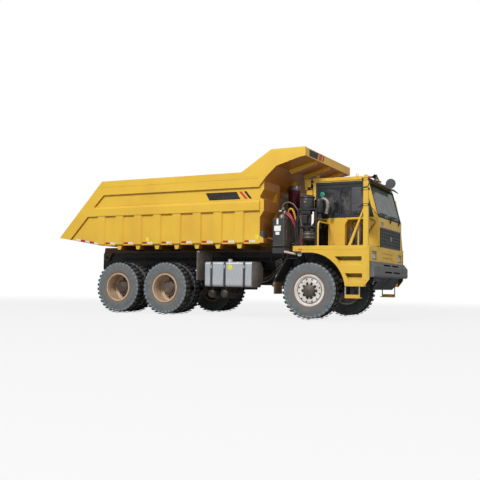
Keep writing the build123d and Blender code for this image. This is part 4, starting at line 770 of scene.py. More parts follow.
clump = [turned([(AXIS, 0.05), (0.03, 0.045), (0.045, 0.01), (0.042, -0.03), (AXIS, -0.05)], place, way, 14)
         for place, way in (((2.01, -1.06, 2.62), (1, 0, 0)), ((2.07, -1.04, 2.68), (0, 0.6, 0.8)),
        ((2.10, -1.0, 2.60), (0, 0, 1)), ((2.03, -1.0, 2.55), (0.7, 0, 0.7)))]
settle(joined(clump), "oil_line_fittings", "chassis", "steel", STEEL_CAP)
valve_hoses = [hose([(2.262, -0.86, 1.86), (2.36, -0.86, 1.86), (2.44, -0.84, 1.80), (2.48, -0.80, 1.66),
                     (2.48, -0.60, 1.52), (2.40, -0.47, 1.44)], 0.024),
               hose([(2.262, -1.02, 1.82), (2.38, -1.02, 1.82), (2.46, -1.0, 1.74), (2.48, -0.92, 1.60),
        (2.44, -0.66, 1.42), (2.34, -0.47, 1.36)], 0.024), hose([(1.972, -0.90, 1.84), (1.90, -0.88, 1.82),
        (1.86, -0.78, 1.70), (1.86, -0.6, 1.62), (1.90, -0.47, 1.56)], 0.022)]
settle(joined(valve_hoses), "oil_hoses", "chassis", "black_plastic", PIPE_BLACK)


# Battery box on the left: a pressed steel cover with ribs, held down by two latches on a tray.
dress(CHASSIS, "battery_box")
covers = [bar((0.975 + 0.158 * i, 1.090 + 0.158 * i), (1.536, 1.550), (0.86, 1.20), 0.010, 3) for i in range(4)]
covers.append(bar((0.962, 1.628), (0.892, 1.548), (1.318, 1.345), 0.008))
covers.append(bar((0.962, 1.628), (0.892, 1.548), (1.236, 1.252), 0.006))
settle(joined(covers), "battery_cover_ribs", "chassis", "black_paint", CHASSIS)
latches = [joined([bar((x - 0.018, x + 0.018), (1.546, 1.562), (1.16, 1.30), 0.004),
                   bar((x - 0.026, x + 0.026), (1.548, 1.570), (1.20, 1.222), 0.004)]) for x in (1.10, 1.49)]
settle(joined(latches), "battery_latches", "chassis", "steel", STEEL_CAP)
cables = [hose([(1.25, 0.91, 1.10), (1.25, 0.84, 1.10), (1.28, 0.72, 1.20), (1.30, 0.56, 1.36),
                (1.32, 0.47, 1.40)], 0.013), hose([(1.33, 0.91, 1.06), (1.33, 0.84, 1.06), (1.36, 0.70, 1.16),
        (1.38, 0.56, 1.40), (1.40, 0.47, 1.44)], 0.013)]
settle(joined(cables), "battery_cables", "chassis", "black_plastic", PIPE_BLACK)


# Silencer on the left: a rolled steel drum with seamed ends, brown with heat, and its tail pipe.
heat = Finish("heated_steel", metallic=0.35)
scale = heat.cloud(7, 5, 0.65).band(0.3, 0.75)
heat.finished(heat.mix(scale, tone(104, 92, 84), tone(126, 82, 56)), scale * 0.3 + 0.5, heat.cloud(70, 3),
              0.0008, 0.4)
dress(heat, "silencer")
drum_rings = [turned([(0.256, 0.0), (0.266, 0.004), (0.268, 0.012), (0.266, 0.020), (0.256, 0.024)],
                     (x, 1.18, 1.06), (1, 0, 0), 48) for x in (0.172, 0.864)]
drum_rings += [turned([(0.258, 0.0), (0.263, 0.0), (0.263, 0.045), (0.258, 0.045)], (x, 1.18, 1.06), (1, 0, 0),
                      48) for x in (0.268, 0.748)]
drum_ends = [turned([(AXIS, 0.020), (0.10, 0.020), (0.16, 0.012), (0.21, 0.016), (0.25, 0.0)], (x, 1.18, 1.06),
                    (way, 0, 0), 48) for x, way in ((0.170, -1), (0.890, 1))]
settle(joined(drum_rings + drum_ends), "silencer_seams", "chassis", "steel", heat)
settle(joined([hose([(0.890, 1.20, 1.10), (0.935, 1.20, 1.10), (0.96, 1.16, 1.12), (0.955, 1.0, 1.16),
                     (1.04, 0.76, 1.20), (1.30, 0.52, 1.22), (1.62, 0.36, 1.24)], 0.052, 5),
               hose([(0.170, 1.18, 0.98), (0.06, 1.18, 0.98), (-0.01, 1.22, 0.96), (-0.015, 1.40, 0.92),
        (-0.015, 1.50, 0.90)], 0.048, 5)]), "exhaust_pipes", "chassis", "steel", heat)


# Side decks: folded and welded plate in the truck's yellow, each with a wheel arch, two step
# pockets and a step hung below. The walkway is chequer plate, and a rubber lip edges the arch.
YELLOW, FADED = tone(232, 189, 62), tone(222, 175, 60)


def truck_yellow(name, sheen=0.36, dust=0.35, low=0.2, high=1.5):
    """The truck's own yellow: a little orange in its fading, with rain streaks and dust low down."""
    paint = enamel(name, YELLOW, FADED, sheen, dust, low, high)
    return paint


DECK_YELLOW = truck_yellow("deck_yellow", 0.38, 0.5, 0.5, 1.6)
across, along, lift = DECK_YELLOW.facing()
east, north, height = DECK_YELLOW.split(DECK_YELLOW.place)
# Painted shade: the deck's inward and downward faces above the step legs are painted dark brown, as they lie in
# shadow
shaded_faces = (along * north * -1).band(0.3, 0.8).maths("MAXIMUM", (along * north * -1).band(0.3, 0.8),
        (0 - lift).band(0.4, 0.8))
legs = height.band(0.612, 0.618) * (1 - height.band(0.79, 0.80))
sprayed = Value(DECK_YELLOW, DECK_YELLOW.surface.inputs["Base Color"].links[0].from_socket)
painted_shade_under_deck = DECK_YELLOW.mix(shaded_faces * height.band(0.8, 0.82), sprayed, tone(70, 48, 30))
DECK_YELLOW.wire(DECK_YELLOW.surface.inputs["Base Color"], DECK_YELLOW.mix(legs, painted_shade_under_deck,
        tone(176, 168, 156)))
dress(DECK_YELLOW, "right_deck", "left_deck")
DECK_TOP = 1.730
ARCH = (2.970, 0.690, 0.885)
RUBBER_BLACK = Finish("moulded_rubber")
moulded = RUBBER_BLACK.cloud(14, 4, 0.6).band(0.3, 0.75)
RUBBER_BLACK.finished(RUBBER_BLACK.mix(moulded, tone(26, 26, 28), tone(58, 54, 50)), moulded * 0.2 + 0.62,
                      moulded, 0.001, 0.4)
for hand, side, inner_y, front in (("right", -1, -0.780, 4.415), ("left", 1, 1.360, 4.395)):
    lip = []
    for step in range(19):
        angle = math.radians(7.2 + 82.8 * step / 18)
        lip.append((ARCH[0] + ARCH[2] * math.cos(angle), side * 1.542, ARCH[1] + ARCH[2] * math.sin(angle)))
    lip += [(2.77, side * 1.542, 1.575), (2.77, side * 1.542, 1.603), (2.56, side * 1.542, 1.603)]
    settle(ribbon(lip, (0, -side * 0.055, 0), 0.008, 60), f"arch_lip_{hand}", "chassis", "black_plastic",
           RUBBER_BLACK)
    lengths = [(2.62, 3.05), (3.06, 3.50), (3.51, 3.95), (3.96, 4.36)]
    plates = [bar((a, b), sorted((side * 1.535, inner_y + side * 0.015)), (DECK_TOP, DECK_TOP + 0.004), 0.0015,
                  1) for a, b in lengths]
    walkway = Finish(f"chequer_plate_{hand}")
    tears = walkway.node("ShaderNodeTexVoronoi", {"feature": "F1"},
                         {"Vector": walkway.stretched((26, 52, 26), (0, 0, 0.785)), "Scale": 1.0})
    raised = 1 - tears.band(0.18, 0.34)
    trodden = walkway.cloud(3, 4).band(0.35, 0.7)
    walk_colour = walkway.mix(trodden * 0.6, tone(214, 166, 58), DUST)
    walkway.finished(walkway.mix(raised * 0.35, walk_colour, tone(126, 104, 76)), trodden * 0.3 + 0.5, raised,
                     0.004, 0.8)
    settle(joined(plates), f"walkway_{hand}", "chassis", "yellow_paint", walkway)
    bolts(f"walkway_screws_{hand}", [(x, side * y, DECK_TOP + 0.004) for a, b in lengths
                                     for x in (a + 0.03, b - 0.03) for y in (1.50, abs(inner_y) + 0.05)],
          (0, 0, 1), 0.009, "chassis", "steel", STEEL_CAP)
    # Each pocket has a sloping floor, with a row of teeth along its upper, inner edge
    toes, teeth = [], []
    for x0, x1, z0, z1, run in ((3.605, 4.240, 1.280, 1.480, 0.155), (3.845, 4.252, 0.906, 1.095, 0.105)):
        upper = x0 + run * 0.088 / (z1 - z0)
        toes.append(panel([(x0 + run + 0.002, side * 1.5495, z0 + 0.001),
                           (x1 - 0.002, side * 1.5495, z0 + 0.001), (x1 - 0.002, side * 1.44, z1 - 0.088),
                           (upper, side * 1.44, z1 - 0.088)], (0, 0, -0.006)))
        count = int((x1 - x0 - run) / 0.032)
        teeth += [bar((x0 + run + 0.01 + 0.032 * i, x0 + run + 0.026 + 0.032 * i),
                      sorted((side * 1.450, side * 1.440)), (z1 - 0.094, z1 - 0.080), 0.003, 1)
                  for i in range(count)]
    settle(joined(toes), f"step_pockets_{hand}", "chassis", "yellow_paint", DECK_YELLOW)
    settle(joined(teeth), f"step_teeth_{hand}", "chassis", "yellow_paint", DECK_YELLOW)
    studs = [turned([(AXIS, 0.006), (0.007, 0.005), (0.011, 0.001), (0.012, 0.0)],
                    (3.870 + 0.036 * i, side * (1.365 + 0.044 * j), 0.550), (0, 0, 1), 10)
             for i in range(9) for j in range(4)]
    settle(joined(studs), f"hanging_step_studs_{hand}", "chassis", "yellow_paint", DECK_YELLOW)
    bolts(f"skirt_bolts_{hand}", [(x, side * 1.550, z) for x, z in ((2.62, 1.69), (2.62, 1.64), (3.30, 1.69),
            (4.36, 1.69), (4.36, 1.50), (4.36, 1.20), (4.33, 0.95), (4.27, 0.86), (3.92, 0.835), (4.16, 0.835),
            (3.60, 1.69))], (0, side, 0), 0.010, "chassis", "steel", DECK_YELLOW)
    folds = [bar((2.562, front - 0.004), sorted((side * SKIRT_Y, side * 1.554)), (1.640, 1.646), 0.002, 1),
             bar((front - 0.026, front - 0.020), sorted((side * SKIRT_Y, side * 1.554)), (0.975, 1.728), 0.002,
            1)]
    settle(joined(folds), f"skirt_folds_{hand}", "chassis", "yellow_paint", DECK_YELLOW)
AMBER = Finish("amber_lens", coat=0.6)
AMBER.finished(AMBER.mix(AMBER.cloud(60, 2).band(0.4, 0.6), tone(206, 110, 30), tone(226, 140, 52)), 0.25)
markers = [bar((2.700, 2.790), sorted((side * SKIRT_Y, side * 1.558)), (1.628, 1.668), 0.006, 3)
           for side in (-1, 1)]
settle(joined(markers), "side_marker_lamps", "chassis", "lamp", AMBER)


# A pale grab tube with a round work lamp at its end, under the rear of each deck.
PALE_METAL = Finish("pale_painted_steel")
worn = PALE_METAL.cloud(26, 4).band(0.35, 0.7)
PALE_METAL.finished(PALE_METAL.mix(worn, tone(224, 204, 190), tone(188, 166, 150)), worn * 0.2 + 0.4)
tubes = []
for side in (-1, 1):
    tubes.append(rod((2.290, side * 1.440, 1.604), (2.600, side * 1.440, 1.542), 0.027, 20, 0.005))
    tubes.append(rod((2.58, side * 1.440, 1.546), (2.60, side * 1.440, 1.665), 0.014, 12))
    tubes.append(rod((2.30, side * 1.440, 1.600), (2.30, side * 1.18, 1.640), 0.012, 12))
settle(joined(tubes), "grab_tubes", "chassis", "grey_paint", PALE_METAL)
work_lamps, work_lenses = [], []
for side in (-1, 1):
    centre = (2.690, side * 1.440, 1.545)
    work_lamps.append(turned([(AXIS, -0.045), (0.026, -0.042), (0.046, -0.020), (0.054, 0.004), (0.055, 0.018),
                              (0.050, 0.020), (0.048, 0.012), (AXIS, 0.012)], centre, (0.30, side * 0.954, 0),
                             28))
    work_lamps.append(rod((2.69, side * 1.43, 1.59), (2.69, side * 1.43, 1.655), 0.010, 10))
    work_lenses.append(turned([(AXIS, 0.017), (0.030, 0.016), (0.048, 0.012), (AXIS, 0.008)], centre,
                              (0.30, side * 0.954, 0), 28))
settle(joined(work_lamps), "deck_work_lamps", "chassis", "grey_paint", PALE_METAL)
LENS = Finish("clear_lens", coat=0.5)
fluted = LENS.node("ShaderNodeTexWave", {"wave_type": "BANDS", "bands_direction": "Y"},
                   {"Vector": LENS.place, "Scale": 28.0}, "Fac")
LENS.finished(LENS.mix(fluted * 0.5, tone(206, 208, 212), tone(150, 152, 158)), 0.15, fluted, 0.002, 0.5)
settle(joined(work_lenses), "deck_lamp_lenses", "chassis", "lamp", LENS)


# Mudguards: bent sheet behind the front wheels, with a tan rubber flap hung on it, and flaps of
# reinforced rubber ahead of the rear wheels.
flap_rubber = Finish("tan_rubber")
across, along, lift = flap_rubber.facing()
east, north, height = flap_rubber.split(flap_rubber.place)
front_flap = (1 - height.band(0.884, 0.890)) * east.band(1.5, 1.6)
rear_flap = 1 - east.band(0.0, 0.04)
flap_mud = flap_rubber.cloud(6, 4, 0.65).band(0.3, 0.7)
sheet_black = flap_rubber.mix(flap_mud * 0.4, tone(30, 30, 32), tone(66, 62, 60))
tan = flap_rubber.mix(flap_mud, tone(176, 148, 118), tone(146, 122, 98))
grey_tan = flap_rubber.mix(flap_mud, tone(156, 148, 138), tone(124, 117, 108))
flap_rubber.finished(flap_rubber.mix(rear_flap, flap_rubber.mix(front_flap, sheet_black, tan), grey_tan),
                     flap_mud * 0.2 + 0.6, flap_mud, 0.001, 0.3)
dress(flap_rubber, "mudguards")


# Front bumper: a folded box of thick plate in slate grey, with slots to step in, pockets for the
# tow pins, and a black sump guard hung below it.
bumper_grey = Finish("bumper_grey")
scuffs = bumper_grey.cloud(9, 5, 0.7).band(0.5, 0.8)
road_film = bumper_grey.cloud(3, 4, 0.6).band(0.3, 0.7)
east, north, height = bumper_grey.split(bumper_grey.place)
guard_black = 1 - height.band(1.005, 1.02)
grey_face = bumper_grey.mix(scuffs * 0.5 + road_film * 0.3, tone(94, 95, 98), tone(132, 126, 118))
bumper_grey.finished(bumper_grey.mix(guard_black, grey_face, tone(40, 40, 46)), road_film * 0.2 + 0.42, scuffs,
                     0.001, 0.3)
dress(bumper_grey, "front_bumper")
slot_trims = [ring_plate([(4.526, y0 - 0.022, z0 - 0.018), (4.526, y1 + 0.022, z0 - 0.018),
                          (4.526, y1 + 0.022, z0 + 0.058), (4.526, y0 - 0.022, z0 + 0.058)], 0.018,
                         (-0.004, 0, 0), 0.0015) for y0, y1 in ((-0.625, -0.015), (0.12, 0.715))
              for z0 in (1.12,)]
settle(joined(slot_trims), "bumper_slot_trims", "chassis", "grey_paint", bumper_grey)
ledges = [bar((4.485, 4.513), (y0 + 0.004 + 0.05 * i, y0 + 0.030 + 0.05 * i), (1.121, 1.129), 0.003, 1)
          for y0 in (-0.625, 0.12) for i in range(11)]
settle(joined(ledges), "bumper_step_teeth", "chassis", "steel", STEEL_CAP)
pins, collars = [], []
for y in (-1.2, 0.95):
    collars.append(ring_plate([(4.5262, y - 0.046, 1.154), (4.5262, y + 0.046, 1.154),
                               (4.5262, y + 0.046, 1.266), (4.5262, y - 0.046, 1.266)], 0.016, (-0.003, 0, 0),
                              0.001))
    pins.append(turned([(AXIS, 0.026), (0.016, 0.026), (0.020, 0.022), (0.020, -0.06), (AXIS, -0.06)],
                       (4.492, y, 1.208), (1, 0, 0), 20))
    pins.append(rod((4.508, y, 1.185), (4.508, y, 1.236), 0.007, 10))
settle(joined(collars), "tow_pocket_collars", "chassis", "grey_paint", bumper_grey)
settle(joined(pins), "tow_pins", "chassis", "steel", PLATE_WHITE)
settle(joined([turned([(AXIS, 0.0014), (0.012, 0.0014), (0.0145, 0.0)], (4.525, y, z), (1, 0, 0), 12)
               for y in (-1.42, -1.04, -0.74, 0.052, 0.82, 1.10, 1.36) for z in (1.085, 1.235)]),
       "bumper_rivets", "chassis", "grey_paint", bumper_grey)
settle(joined([bar((4.300, 4.420), (-1.40 + 0.30 * i, -1.16 + 0.30 * i), (1.380, 1.384), 0.002, 1)
               for i in (0, 9)] + [ribbon([(4.395, -0.62, 1.012), (4.20, -0.62, 0.738)], (0, 0.03, 0), 0.006),
        ribbon([(4.395, 0.30, 1.012), (4.20, 0.30, 0.738)], (0, 0.03, 0), 0.006),
        ribbon([(4.395, 1.19, 1.012), (4.20, 1.19, 0.738)], (0, 0.03, 0), 0.006)]), "guard_ribs", "chassis",
       "grey_paint", bumper_grey)
bolts("guard_bolts", [(4.345, y, 0.955) for y in (-0.5, -0.1, 0.2, 0.5, 0.8, 1.1)], (0.78, 0, -0.62), 0.014,
      "chassis", "steel", STEEL_CAP)


# Nose panel between the bumper and the cab: yellow plate with two lamp pockets and four slots.
NOSE_YELLOW = truck_yellow("nose_yellow", 0.4, 0.45, 0.6, 1.7)
dress(NOSE_YELLOW, "nose_panel")
nose_slots = [(y0, y1, z) for y0, y1 in ((-0.494, -0.130), (-0.077, 0.360)) for z in (1.44, 1.54)]
slot_lips = [ring_plate([(4.4262, y0 - 0.012, z - 0.012), (4.4262, y1 + 0.012, z - 0.012),
                         (4.4262, y1 + 0.012, z + 0.067), (4.4262, y0 - 0.012, z + 0.067)], 0.012,
                        (-0.003, 0, 0), 0.001) for y0, y1, z in nose_slots]
slot_scoops = [panel([(4.4245, y0 + 0.003, z + 0.002), (4.4245, y1 - 0.003, z + 0.002),
                      (4.406, y1 - 0.003, z + 0.040), (4.406, y0 + 0.003, z + 0.040)], (0, 0, -0.003))
               for y0, y1, z in nose_slots]
settle(joined(slot_lips + slot_scoops), "nose_slot_lips", "chassis", "yellow_paint", NOSE_YELLOW)
bolts("nose_bolts", [(4.425, y, z) for y in (-1.44, -0.92, -0.60, 0.46, 0.82, 1.30) for z in (1.42, 1.61)],
      (1, 0, 0), 0.011, "chassis", "yellow_paint", NOSE_YELLOW)
panel_edges = [bar((4.4235, 4.4265), (-1.492, 1.348), (z, z + 0.006), 0.001, 1) for z in (1.384, 1.640)]
settle(joined(panel_edges), "nose_edges", "chassis", "yellow_paint", NOSE_YELLOW)


# Headlamps: a black moulded body with two ribbed clear lenses, a turn lamp over them, in a frame.
BEZEL = Finish("lamp_bezel")
BEZEL.finished(BEZEL.mix(BEZEL.cloud(30, 3).band(0.3, 0.7), tone(112, 66, 44), tone(84, 54, 40)), 0.5)
for hand, low_y, high_y in (("right", -1.354, -1.016), ("left", 0.926, 1.224)):
    middle, half = (low_y + high_y) / 2, (high_y - low_y) / 2
    back = bar((4.376, 4.398), (low_y, high_y), (1.426, 1.604), 0.006)
    frame_ring = ring_plate([(4.421, low_y, 1.426), (4.421, high_y, 1.426), (4.421, high_y, 1.604),
                             (4.421, low_y, 1.604)], 0.016, (-0.026, 0, 0), 0.003)
    split = bar((4.396, 4.420), (low_y + 0.012, high_y - 0.012), (1.556, 1.566), 0.002)
    settle(joined([back, frame_ring, split]), f"headlamp_body_{hand}", "chassis", "black_plastic", BEZEL,
           *(("headlamps",) if hand == "right" else ()))
    reflectors = [turned([(AXIS, 0.002), (0.020, 0.004), (0.040, 0.012), (0.052, 0.020), (0.055, 0.018),
                          (0.050, 0.006), (AXIS, -0.004)], (4.398, middle + side * half * 0.46, 1.495),
                         (1, 0, 0), 32) for side in (-1, 1)]
    bulbs = [turned([(AXIS, 0.016), (0.006, 0.015), (0.009, 0.009), (0.009, 0.0)],
                    (4.400, middle + side * half * 0.46, 1.495), (1, 0, 0), 12) for side in (-1, 1)]
    settle(joined(reflectors + bulbs), f"headlamp_reflectors_{hand}", "chassis", "lamp", STEEL_CAP)
    settle(panel([(4.417, low_y + 0.017, 1.443), (4.417, high_y - 0.017, 1.443), (4.415, high_y - 0.017, 1.555),
                  (4.415, low_y + 0.017, 1.555)], (-0.004, 0, 0), 0.001), f"headlamp_lens_{hand}", "chassis",
           "lamp", LENS)
    settle(panel([(4.417, low_y + 0.017, 1.567), (4.417, high_y - 0.017, 1.567), (4.415, high_y - 0.017, 1.588),
                  (4.415, low_y + 0.017, 1.588)], (-0.004, 0, 0), 0.001), f"turn_lens_{hand}", "chassis",
           "lamp", AMBER)


# Grille on the cab front: a black moulding with deep louvres and upright ribs; its centre is bare.
GRILLE_BLACK = Finish("grille_moulding")
haze = GRILLE_BLACK.cloud(12, 4, 0.6).band(0.3, 0.7)
GRILLE_BLACK.finished(GRILLE_BLACK.mix(haze, tone(52, 54, 58), tone(86, 84, 84)), haze * 0.2 + 0.45, haze,
                      0.0008, 0.3)
dress(GRILLE_BLACK, "grille")
louvre_pitch = 0.405 / 5
slats, uprights = [], []
for i in range(5):
    low = 1.765 + louvre_pitch * i
    slats.append(ribbon([(4.4165, -0.568, low + 0.016), (4.404, -0.568, low + 0.030),
                         (4.401, -0.568, low + 0.066)], (0, 1.686, 0), 0.003))
    uprights += [bar((4.402, 4.4135), (-0.45 + 0.15 * j, -0.438 + 0.15 * j), (low + 0.012, low + 0.068), 0.002,
                     1) for j in range(11)]
settle(joined(slats), "grille_slats", "chassis", "black_plastic", GRILLE_BLACK)
settle(joined(uprights), "grille_ribs", "chassis", "black_plastic", GRILLE_BLACK)
settle(ring_plate([(4.4195, -0.606, 1.729), (4.4195, 1.156, 1.729), (4.4195, 1.156, 2.206),
                   (4.4195, -0.606, 2.206)], 0.026, (-0.008, 0, 0), 0.003), "grille_surround", "chassis",
       "black_plastic", GRILLE_BLACK)
boss = turned([(AXIS, 0.012), (0.046, 0.011), (0.060, 0.006), (0.066, 0.0), (AXIS, 0.0)],
              (4.4175, 0.275, 1.968), (1, 0, 0), 36)
settle(boss, "grille_blank_boss", "chassis", "steel", STEEL_CAP)
bolts("grille_screws", [(4.4195, y, z) for y in (-0.59, 0.275, 1.14) for z in (1.742, 2.193)], (1, 0, 0), 0.007,
      "chassis", "steel", CASTING)


# Cab shell: pressed and welded panels in the truck's yellow, lined with grey moulded trim inside.
# It stands on rubber pads on the chassis, and its lower right side is cut away for the cans and pipes.
cab_paint = Finish("cab_yellow")
across, along, lift = cab_paint.facing()
east, north, height = cab_paint.split(cab_paint.place)
inward = (3.60 - east) * across + (0.30 - north) * along + (2.60 - height) * lift
alcove_share = east.band(3.565, 3.575) * (1 - east.band(4.175, 4.185)) * (1 - height.band(2.40, 2.43))
notch_share = (1 - east.band(3.162, 3.172)) * (1 - height.band(2.40, 2.43)) * (1 - north.band(-0.182, -0.172))
outside_cut = (alcove_share * (1 - north.band(-0.528, -0.522))).maths("MAXIMUM",
        alcove_share * (1 - north.band(-0.528, -0.522)), notch_share)
within = north.band(-0.779, -0.775) * (1 - north.band(1.355, 1.359)) * (1 - height.band(3.40,
        3.41)) * height.band(1.752, 1.756)
trim_share = inward.band(0.02, 0.06) * within * (1 - outside_cut)
patches = cab_paint.cloud(1.6, 4).band(0.35, 0.72)
cab_streaks = cab_paint.cloud(1.0, 4, 0.6, cab_paint.stretched((13, 13, 0.9))).band(0.52, 0.8)
cab_specks = cab_paint.cloud(36, 5, 0.7).band(0.55, 0.75)
cab_film = (lift.band(0.25, 0.95) * 0.7 + cab_streaks * 0.3 + cab_specks * 0.15 + (1 - height.band(1.75, 2.1))
            * 0.35)
cab_film = cab_film * cab_paint.cloud(5, 5, 0.65).band(0.2, 0.75) * 0.45
cab_body = cab_paint.mix(patches, YELLOW, FADED)
cab_dusty = cab_paint.mix(cab_film.band(0, 1), cab_body, DUST)
trim_grey = cab_paint.mix(cab_paint.cloud(60, 3).band(0.4, 0.6), tone(84, 82, 78), tone(66, 64, 62))
cab_paint.finished(cab_paint.mix(trim_share, cab_dusty, trim_grey), cab_film * 0.4 + trim_share * 0.3 + 0.34,
                   cab_paint.cloud(140, 2) + cab_specks * 0.4, 0.0006, 0.25)
dress(cab_paint, "cab_floor", "cab_right_side", "cab_left_side", "cab_rear_wall", "cab_front_wall", "cab_roof")
lower_panels = []
for x0, x1 in ((3.168, 3.279), (3.284, 3.572)):
    for z0, z1 in ((1.756, 1.797), (1.803, 2.042), (2.048, 2.317), (2.323, 2.444)):
        lower_panels.append(bar((x0, x1), (-0.7835, -0.779), (z0, z1), 0.0016, 2))
for z0, z1 in ((1.756, 2.200), (2.206, 2.444)):
    lower_panels.append(bar((4.178, 4.318), (-0.7835, -0.779), (z0, z1), 0.0016, 2))
lower_panels.append(bar((4.324, 4.386), (-0.7835, -0.779), (1.756, 2.444), 0.0016, 2))
lower_panels.append(panel([(3.590, -0.779, 2.320), (3.655, -0.779, 2.405), (4.165, -0.779, 2.405),
                           (4.165, -0.779, 2.444), (3.590, -0.779, 2.444)], (0, -0.0045, 0), 0.0012))
settle(joined(lower_panels), "cab_side_panels", "chassis", "yellow_paint", cab_paint)
cowl = [bar((4.388, 4.394), (-0.755, -0.615), (1.760, 2.440), 0.0018, 2),
        bar((4.388, 4.394), (1.165, 1.340), (1.760, 2.440), 0.0018, 2),
        bar((4.388, 4.394), (-0.609, 0.262), (2.218, 2.440), 0.0018, 2),
        bar((4.388, 4.394), (0.268, 1.159), (2.218, 2.440), 0.0018, 2)]
settle(joined(cowl), "cab_cowl_panels", "chassis", "yellow_paint", cab_paint)
settle(bar((4.384, 4.392), (-0.60, 1.15), (1.735, 1.750), 0.003, 2), "cab_valance", "chassis", "yellow_paint",
       cab_paint)
settle(bar((4.3935, 4.3965), (-0.520, -0.330), (2.262, 2.352), 0.001, 1), "blank_cowl_plate", "chassis",
       "steel", STEEL_CAP)
gutter = []
for y, way in ((-0.780, -1), (1.360, 1)):
    gutter.append(ribbon([(2.79, y + way * 0.002, 3.352), (2.79, y + way * 0.018, 3.350),
                          (2.79, y + way * 0.020, 3.372)], (1.32, 0, 0), 0.004))
gutter.append(ribbon([(2.782, -0.76, 3.350), (2.766, -0.76, 3.350), (2.764, -0.76, 3.372)], (0, 2.10, 0),
                     0.004))
settle(joined(gutter), "roof_gutters", "chassis", "yellow_paint", cab_paint)
roof_ribs = [bar((2.90, 3.92), (y, y + 0.10), (3.425, 3.438), 0.006, 2)
             for y in (-0.50, -0.10, 0.30, 0.70, 1.05)]
settle(joined(roof_ribs), "roof_ribs", "chassis", "yellow_paint", cab_paint)
eyes = [joined([turned([(0.022, -0.006), (0.036, -0.006), (0.036, 0.006), (0.022, 0.006), (0.022, -0.006)],
                       (x, y, 3.470), (0, 1, 0), 20), bar((x - 0.03, x + 0.03), (y - 0.006, y + 0.006),
        (3.425, 3.448), 0.002)]) for x in (2.86, 3.86) for y in (-0.72, 1.30)]
settle(joined(eyes), "cab_lifting_eyes", "chassis", "yellow_paint", cab_paint)
boxes = [bar((2.530, 2.690), (-0.775, -0.600), (3.225, 3.405), 0.012, 3),
         bar((2.512, 2.700), (-0.782, -0.592), (3.398, 3.418), 0.005),
         bar((2.68, 2.784), (-0.72, -0.66), (3.30, 3.34), 0.004), bar((2.580, 2.740), (-0.775, -0.620),
        (3.018, 3.150), 0.010, 3), bar((2.73, 2.784), (-0.72, -0.66), (3.06, 3.10), 0.004),
         bar((2.760, 2.784), (-0.778, -0.560), (2.96, 3.44), 0.004),
         bar((2.545, 2.60), (-0.760, -0.615), (3.170, 3.226), 0.004)]
settle(joined(boxes), "rear_lamp_brackets", "chassis", "yellow_paint", cab_paint)
rear_lamp_glasses = [turned([(AXIS, 0.014), (0.036, 0.012), (0.058, 0.004), (0.060, 0.0), (AXIS, 0.0)],
                            (2.530, -0.688, 3.312), (-1, 0, 0), 28)]
settle(joined(rear_lamp_glasses), "rear_work_lens", "chassis", "lamp", LENS)
settle(joined([hose([(2.70, -0.60, 3.30), (2.74, -0.54, 3.34), (2.76, -0.46, 3.30), (2.775, -0.44, 3.20),
                     (2.778, -0.42, 3.10), (2.782, -0.42, 3.02)], 0.008)]), "rear_lamp_lead", "chassis",
       "black_plastic", PIPE_BLACK)
settle(turned([(AXIS, 0.115), (0.004, 0.114), (0.006, 0.104), (0.006, 0.052), (0.012, 0.048), (0.016, 0.036),
               (0.017, 0.014), (0.028, 0.008), (0.030, 0.0), (AXIS, 0.0)], (2.870, -0.690, 3.402), (0, 0, 1),
              20), "aerial_stub", "chassis", "grey_paint", PALE_METAL)
horn = [turned([(AXIS, 0.0), (0.014, 0.0), (0.016, 0.05), (0.022, 0.12), (0.036, 0.17), (0.060, 0.20),
                (0.064, 0.202), (0.058, 0.190), (0.034, 0.16), (AXIS, 0.10)], (3.99, -0.30, 3.462),
               (0.97, -0.24, 0), 24), turned([(AXIS, 0.0), (0.034, 0.0), (0.038, 0.010), (0.038, 0.040),
        (AXIS, 0.046)], (3.955, -0.291, 3.462), (0.97, -0.24, 0), 24),
        bar((3.97, 4.00), (-0.312, -0.288), (3.405, 3.452), 0.003)]
settle(joined(horn), "roof_horn", "chassis", "black_paint", CHASSIS)
corner_rod = [hose([(4.145, -0.792, 2.425), (4.24, -0.800, 2.385), (4.335, -0.800, 2.345),
                    (4.330, -0.800, 2.30), (4.25, -0.800, 2.20), (4.170, -0.792, 2.090)], 0.008)]
corner_rod += [bar((x - 0.018, x + 0.018), (-0.802, -0.782), (z - 0.022, z + 0.022), 0.003)
               for x, z in ((4.145, 2.425), (4.170, 2.090))]
settle(joined(corner_rod), "cab_stay_rod", "chassis", "black_paint", CHASSIS)
WIPER = enamel("wiper_black", tone(24, 24, 26), tone(44, 42, 42), 0.45, 0.3, 0.5, 1.5)
wipers = []
for pivot_y, tip_y in ((0.250, -0.600), (1.050, 0.330)):
    wipers.append(turned([(AXIS, 0.030), (0.012, 0.030), (0.018, 0.024), (0.020, 0.0), (AXIS, 0.0)],
                         (4.394, pivot_y, 2.395), (1, 0, 0), 16))
    wipers.append(bar((4.394, 4.406), (pivot_y - 0.026, pivot_y + 0.026), (2.350, 2.440), 0.004))
    wipers.append(hose([(4.418, pivot_y, 2.395), (4.424, pivot_y, 2.44), (4.415, pivot_y - 0.03, 2.500),
                        (4.402, (pivot_y + tip_y) / 2, 2.535), (4.396, tip_y + 0.16, 2.545)], 0.010, 2))
    wipers.append(ribbon([(4.392, tip_y - 0.04, 2.520), (4.389, tip_y + 0.30, 2.528),
                          (4.389, tip_y + 0.62, 2.532)], (-0.004, 0, 0.030), 0.008))
settle(joined(wipers), "wipers", "chassis", "black_plastic", WIPER)
mounts = [turned([(AXIS, 0.0), (0.062, 0.0), (0.062, 0.014), (0.046, 0.022), (0.046, 0.062), (0.062, 0.070),
                  (0.062, 0.086), (AXIS, 0.086)], (x, y, 1.658), (0, 0, 1), 24) for x in (3.04, 4.15)
          for y in (-0.34, 0.34)]
settle(joined(mounts), "cab_mounts", "chassis", "black_plastic", RUBBER_BLACK)
